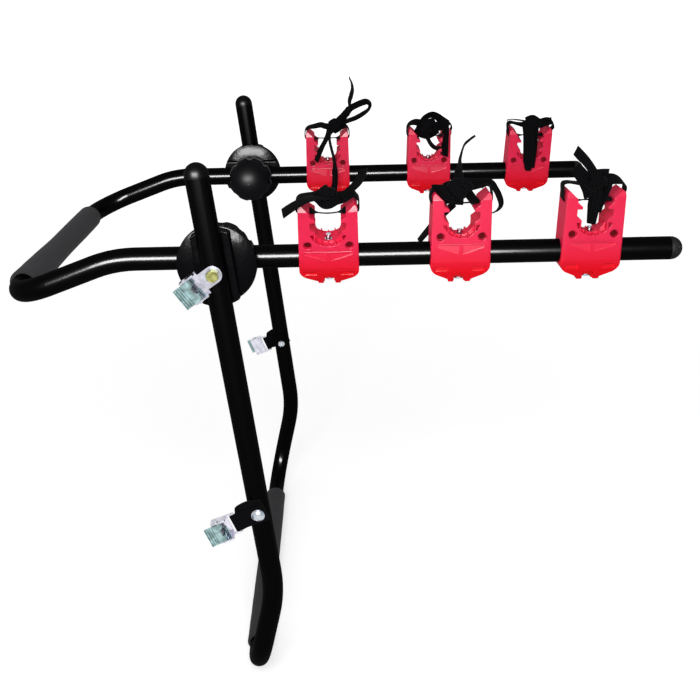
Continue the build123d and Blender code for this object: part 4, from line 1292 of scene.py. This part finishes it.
@dataclass
class CamBuckle:
    """One of the four cam buckles that tighten the car's straps."""

    level: Level
    side: Side

    def build(self) -> None:
        """Dress the pressed channel, the pin, the lever and its spring, and add a lower one's webbing."""
        parts = {"plate": BUCKLE_PLATE, "pin": BRIGHT_ZINC, "cam_lever": CAM_LEVER, "spring": SPRING_WIRE}
        for part, finish in parts.items():
            dress([f"{self.level.value}_buckle_{part}_{self.side.word}"], finish)
        if self.level is Level.LOWER:
            WebbingTab(self.side).build()


@dataclass
class Hub:
    """The toothed discs, the knob and its metal bush on one side."""

    side: Side

    def build(self) -> None:
        """Dress the mouldings and the bush."""
        side = self.side.word
        dress([f"hub_outer_disc_{side}", f"hub_inner_disc_{side}"], NYLON)
        dress([f"knob_{side}"], KNOB_NYLON)
        dress([f"knob_insert_{side}"], TURNED_STEEL)


@dataclass
class LegFrame:
    """The bent tube that stands against the car, with its plugs, foam and bolts."""

    foam: FoamSleeve = field(
        default_factory=lambda: FoamSleeve("lower_foam_pad", "lower_foam_sleeve", "frame", waist=0.4 * MM)
    )

    def build(self) -> None:
        """Dress the tube and what is fixed to it, and add the foam."""
        dress(["frame_tube"], POWDER_COAT)
        dress(["leg_end_caps"], LEG_PLUG)
        dress(["hub_bolts"], YELLOW_ZINC)
        dress(["washers", "lower_bolts", "lower_dome_nuts"], BRIGHT_ZINC)
        self.foam.build()


@dataclass
class Carrier:
    """The bent tube that folds out, with its plugs, foam, cradles and fixings."""

    foam: FoamSleeve = field(
        default_factory=lambda: FoamSleeve(
            "upper_foam_pad", "upper_foam_sleeve", "carrier", waist=1.3 * MM, swell=0.9 * MM
        )
    )

    def build(self) -> None:
        """Dress the tube and fixings, and build the foam and the six cradles."""
        dress(["carrier_tube"], POWDER_COAT)
        dress(["arm_end_caps"], ARM_PLUG)
        dress(["cradle_clamp_bolts", "cradle_clamp_nuts"], BRIGHT_ZINC)
        dress(["cradle_screws", "cradle_screw_nuts"], SCREW_IN_PAINTED_SHADE)
        self.foam.build()
        for strap in TIE_STRAPS:
            Cradle(strap).build()


@dataclass(frozen=True)
class Lamp:
    """A soft box. Lengths are in metres.

    Attributes:
        name: its name.
        spot: its place.
        aim: the point that it faces.
        size: its width and height.
        watts: its power.
        mirrored_by: the finishes that mirror it, where it is only a reflection and lights nothing.
    """

    name: str
    spot: tuple[float, float, float]
    aim: tuple[float, float, float]
    size: tuple[float, float]
    watts: float
    mirrored_by: tuple[Finish, ...] = ()

    def hang(self) -> None:
        """Add the lamp to the scene, after the pieces that mirror it."""
        data = bpy.data.lights.new(self.name, "AREA")
        data.shape = "RECTANGLE"
        data.size, data.size_y = self.size
        data.energy = self.watts
        made = bpy.data.objects.new(self.name, data)
        bpy.context.scene.collection.objects.link(made)
        made.location = self.spot
        made.rotation_euler = (Vector(self.aim) - Vector(self.spot)).to_track_quat("-Z", "Y").to_euler()
        made.visible_camera = False
        made.visible_diffuse = not self.mirrored_by
        if self.mirrored_by:
            names = {finish.name for finish in self.mirrored_by}
            pieces = bpy.data.collections.new(self.name)
            for piece in bpy.context.scene.objects:
                slots = piece.material_slots
                if slots and slots[0].name in names:
                    pieces.objects.link(piece)
            made.light_linking.receiver_collection = pieces


# The one lamp that lights the carrier, beside the pale surround: a soft box in front of it.
KEY_LAMP = Lamp("key_soft_box", (0.0, -1.2, 1.15), (0.2, 0.0, 0.55), (0.8, 0.6), 10.0)
# Mirror images alone: a long sharp one along the tubes, and broad ones on the mouldings.
TUBE_LAMP = Lamp("tube_highlight", (-0.1, -1.5, 1.02), (0.1, 0.0, 0.6), (1.4, 0.5), 1900.0, (POWDER_COAT,))
BLACK_MOULDINGS = (NYLON, KNOB_NYLON, LEG_PLUG, ARM_PLUG)
MOULDING_LAMP = Lamp(
    "moulding_highlight", (-0.2, -1.5, 1.1), (0.1, 0.0, 0.6), (1.2, 0.6), 640.0, BLACK_MOULDINGS
)
CRADLE_LAMP = Lamp("cradle_highlight", (-0.2, -1.5, 1.1), (0.1, 0.0, 0.6), (1.2, 0.6), 800.0, (RED_PLASTIC,))


@dataclass
class Studio:
    """A pale floor, soft light and the photograph's camera.

    Attributes:
        lens: the camera's focal length, in millimetres.
        sensor: its sensor's width, in millimetres.
        eye: its place, in metres.
        forward: the direction in which it looks.
        right: its axis to the right.
        up: its axis upward.
        ambient: the surround's strength as a light.
        white: the colour of the surround, and of the floor's glow.
        paint: the floor's own colour.
        floor_half: half the floor's width, in metres.
        floor_gap: how far it lies under the lowest point, in metres.
        glow_at: the distances between which its glow grows, in metres.
        glow: the glow's strength at these distances.
        lamps: the lamps.
    """

    lens: float = 44.46
    sensor: float = 36.0
    eye: tuple[float, float, float] = (0.13182, -1.2209, 0.92259)
    forward: tuple[float, float, float] = VIEW
    right: tuple[float, float, float] = (0.99970, -0.01843, -0.01626)
    up: tuple[float, float, float] = (0.02230, 0.40209, 0.91533)
    ambient: float = 0.4
    white: str = "#FFFFFF"
    paint: str = "#EDEDED"
    floor_half: float = 60.0
    floor_gap: float = 1 * MM
    glow_at: tuple[float, float] = (0.4, 4.0)
    glow: tuple[float, float] = (0.56, 0.8)
    lamps: tuple[Lamp, ...] = (KEY_LAMP, TUBE_LAMP, MOULDING_LAMP, CRADLE_LAMP)

    def camera(self) -> None:
        """Set up the camera at the photograph's viewing angle."""
        data = bpy.data.cameras.new("photo_view")
        data.lens = self.lens
        data.sensor_width = self.sensor
        made = bpy.data.objects.new("photo_view", data)
        bpy.context.scene.collection.objects.link(made)
        back = [-v for v in self.forward]
        rows = [[self.right[i], self.up[i], back[i], self.eye[i]] for i in range(3)]
        made.matrix_world = Matrix(rows + [[0, 0, 0, 1]])
        bpy.context.scene.camera = made

    def seen(self, tree: Tree) -> Socket:
        """Find the rays that show a surface as it is: straight, mirrored or through glass.

        Args:
            tree: the node tree that needs to know.

        Returns:
            A socket that is 1 for these rays and 0 for the rest.
        """
        path = add(tree, "ShaderNodeLightPath")
        total = path.outputs["Is Camera Ray"]
        for name in ("Is Glossy Ray", "Is Transmission Ray"):
            either = add(tree, "ShaderNodeMath", {0: total, 1: path.outputs[name]}, operation="MAXIMUM")
            total = either.outputs["Value"]
        return total

    def world(self) -> None:
        """An even pale surround that lights the object softly and looks white."""
        made = bpy.data.worlds.new("pale_surround")
        made.use_nodes = True
        tree = made.node_tree
        strength = add(
            tree, "ShaderNodeMapRange", {"Value": self.seen(tree), "To Min": self.ambient, "To Max": 1.0}
        )
        background = tree.nodes["Background"]
        background.inputs["Color"].default_value = linear(self.white)
        tree.links.new(strength.outputs["Result"], background.inputs["Strength"])
        bpy.context.scene.world = made

    def floor(self) -> None:
        """A plain pale floor under the lowest point, which keeps the object's soft shadow."""
        mesh = bmesh.new()
        bmesh.ops.create_grid(mesh, x_segments=8, y_segments=8, size=self.floor_half)
        piece = mesh_piece("studio_floor", mesh)
        piece.location.z = cad_box[0][2] - self.floor_gap
        material = bpy.data.materials.new("matt_white_painted_floor")
        material.use_nodes = True
        tree = material.node_tree
        shader = tree.nodes["Principled BSDF"]
        shader.inputs["Base Color"].default_value = linear(self.paint)
        shader.inputs["Roughness"].default_value = 0.9
        shader.inputs["Specular IOR Level"].default_value = 0.1
        shader.inputs["Emission Color"].default_value = linear(self.white)
        place = add(tree, "ShaderNodeTexCoord").outputs["Object"]
        away = add(tree, "ShaderNodeVectorMath", {0: place}, operation="LENGTH").outputs["Value"]
        near, far = self.glow_at
        weak, strong = self.glow
        glow = add(
            tree,
            "ShaderNodeMapRange",
            {"Value": away, "From Min": near, "From Max": far, "To Min": weak, "To Max": strong},
        ).outputs["Result"]
        shown = add(tree, "ShaderNodeMath", {0: glow, 1: self.seen(tree)}, operation="MULTIPLY")
        tree.links.new(shown.outputs["Value"], shader.inputs["Emission Strength"])
        piece.data.materials.append(material)

    def build(self) -> None:
        """Set up the camera, the surround, the floor and the lamps."""
        self.camera()
        self.world()
        self.floor()
        for lamp in self.lamps:
            lamp.hang()
        bpy.context.scene.view_settings.view_transform = "Standard"
        log.info("studio ready")


def main() -> None:
    """Build the studio and the carrier, and report each piece."""
    LegFrame().build()
    for side in Side:
        Hub(side).build()
        for level in Level:
            CamBuckle(level, side).build()
    Carrier().build()
    Studio().build()


if __name__ == "__main__":
    main()
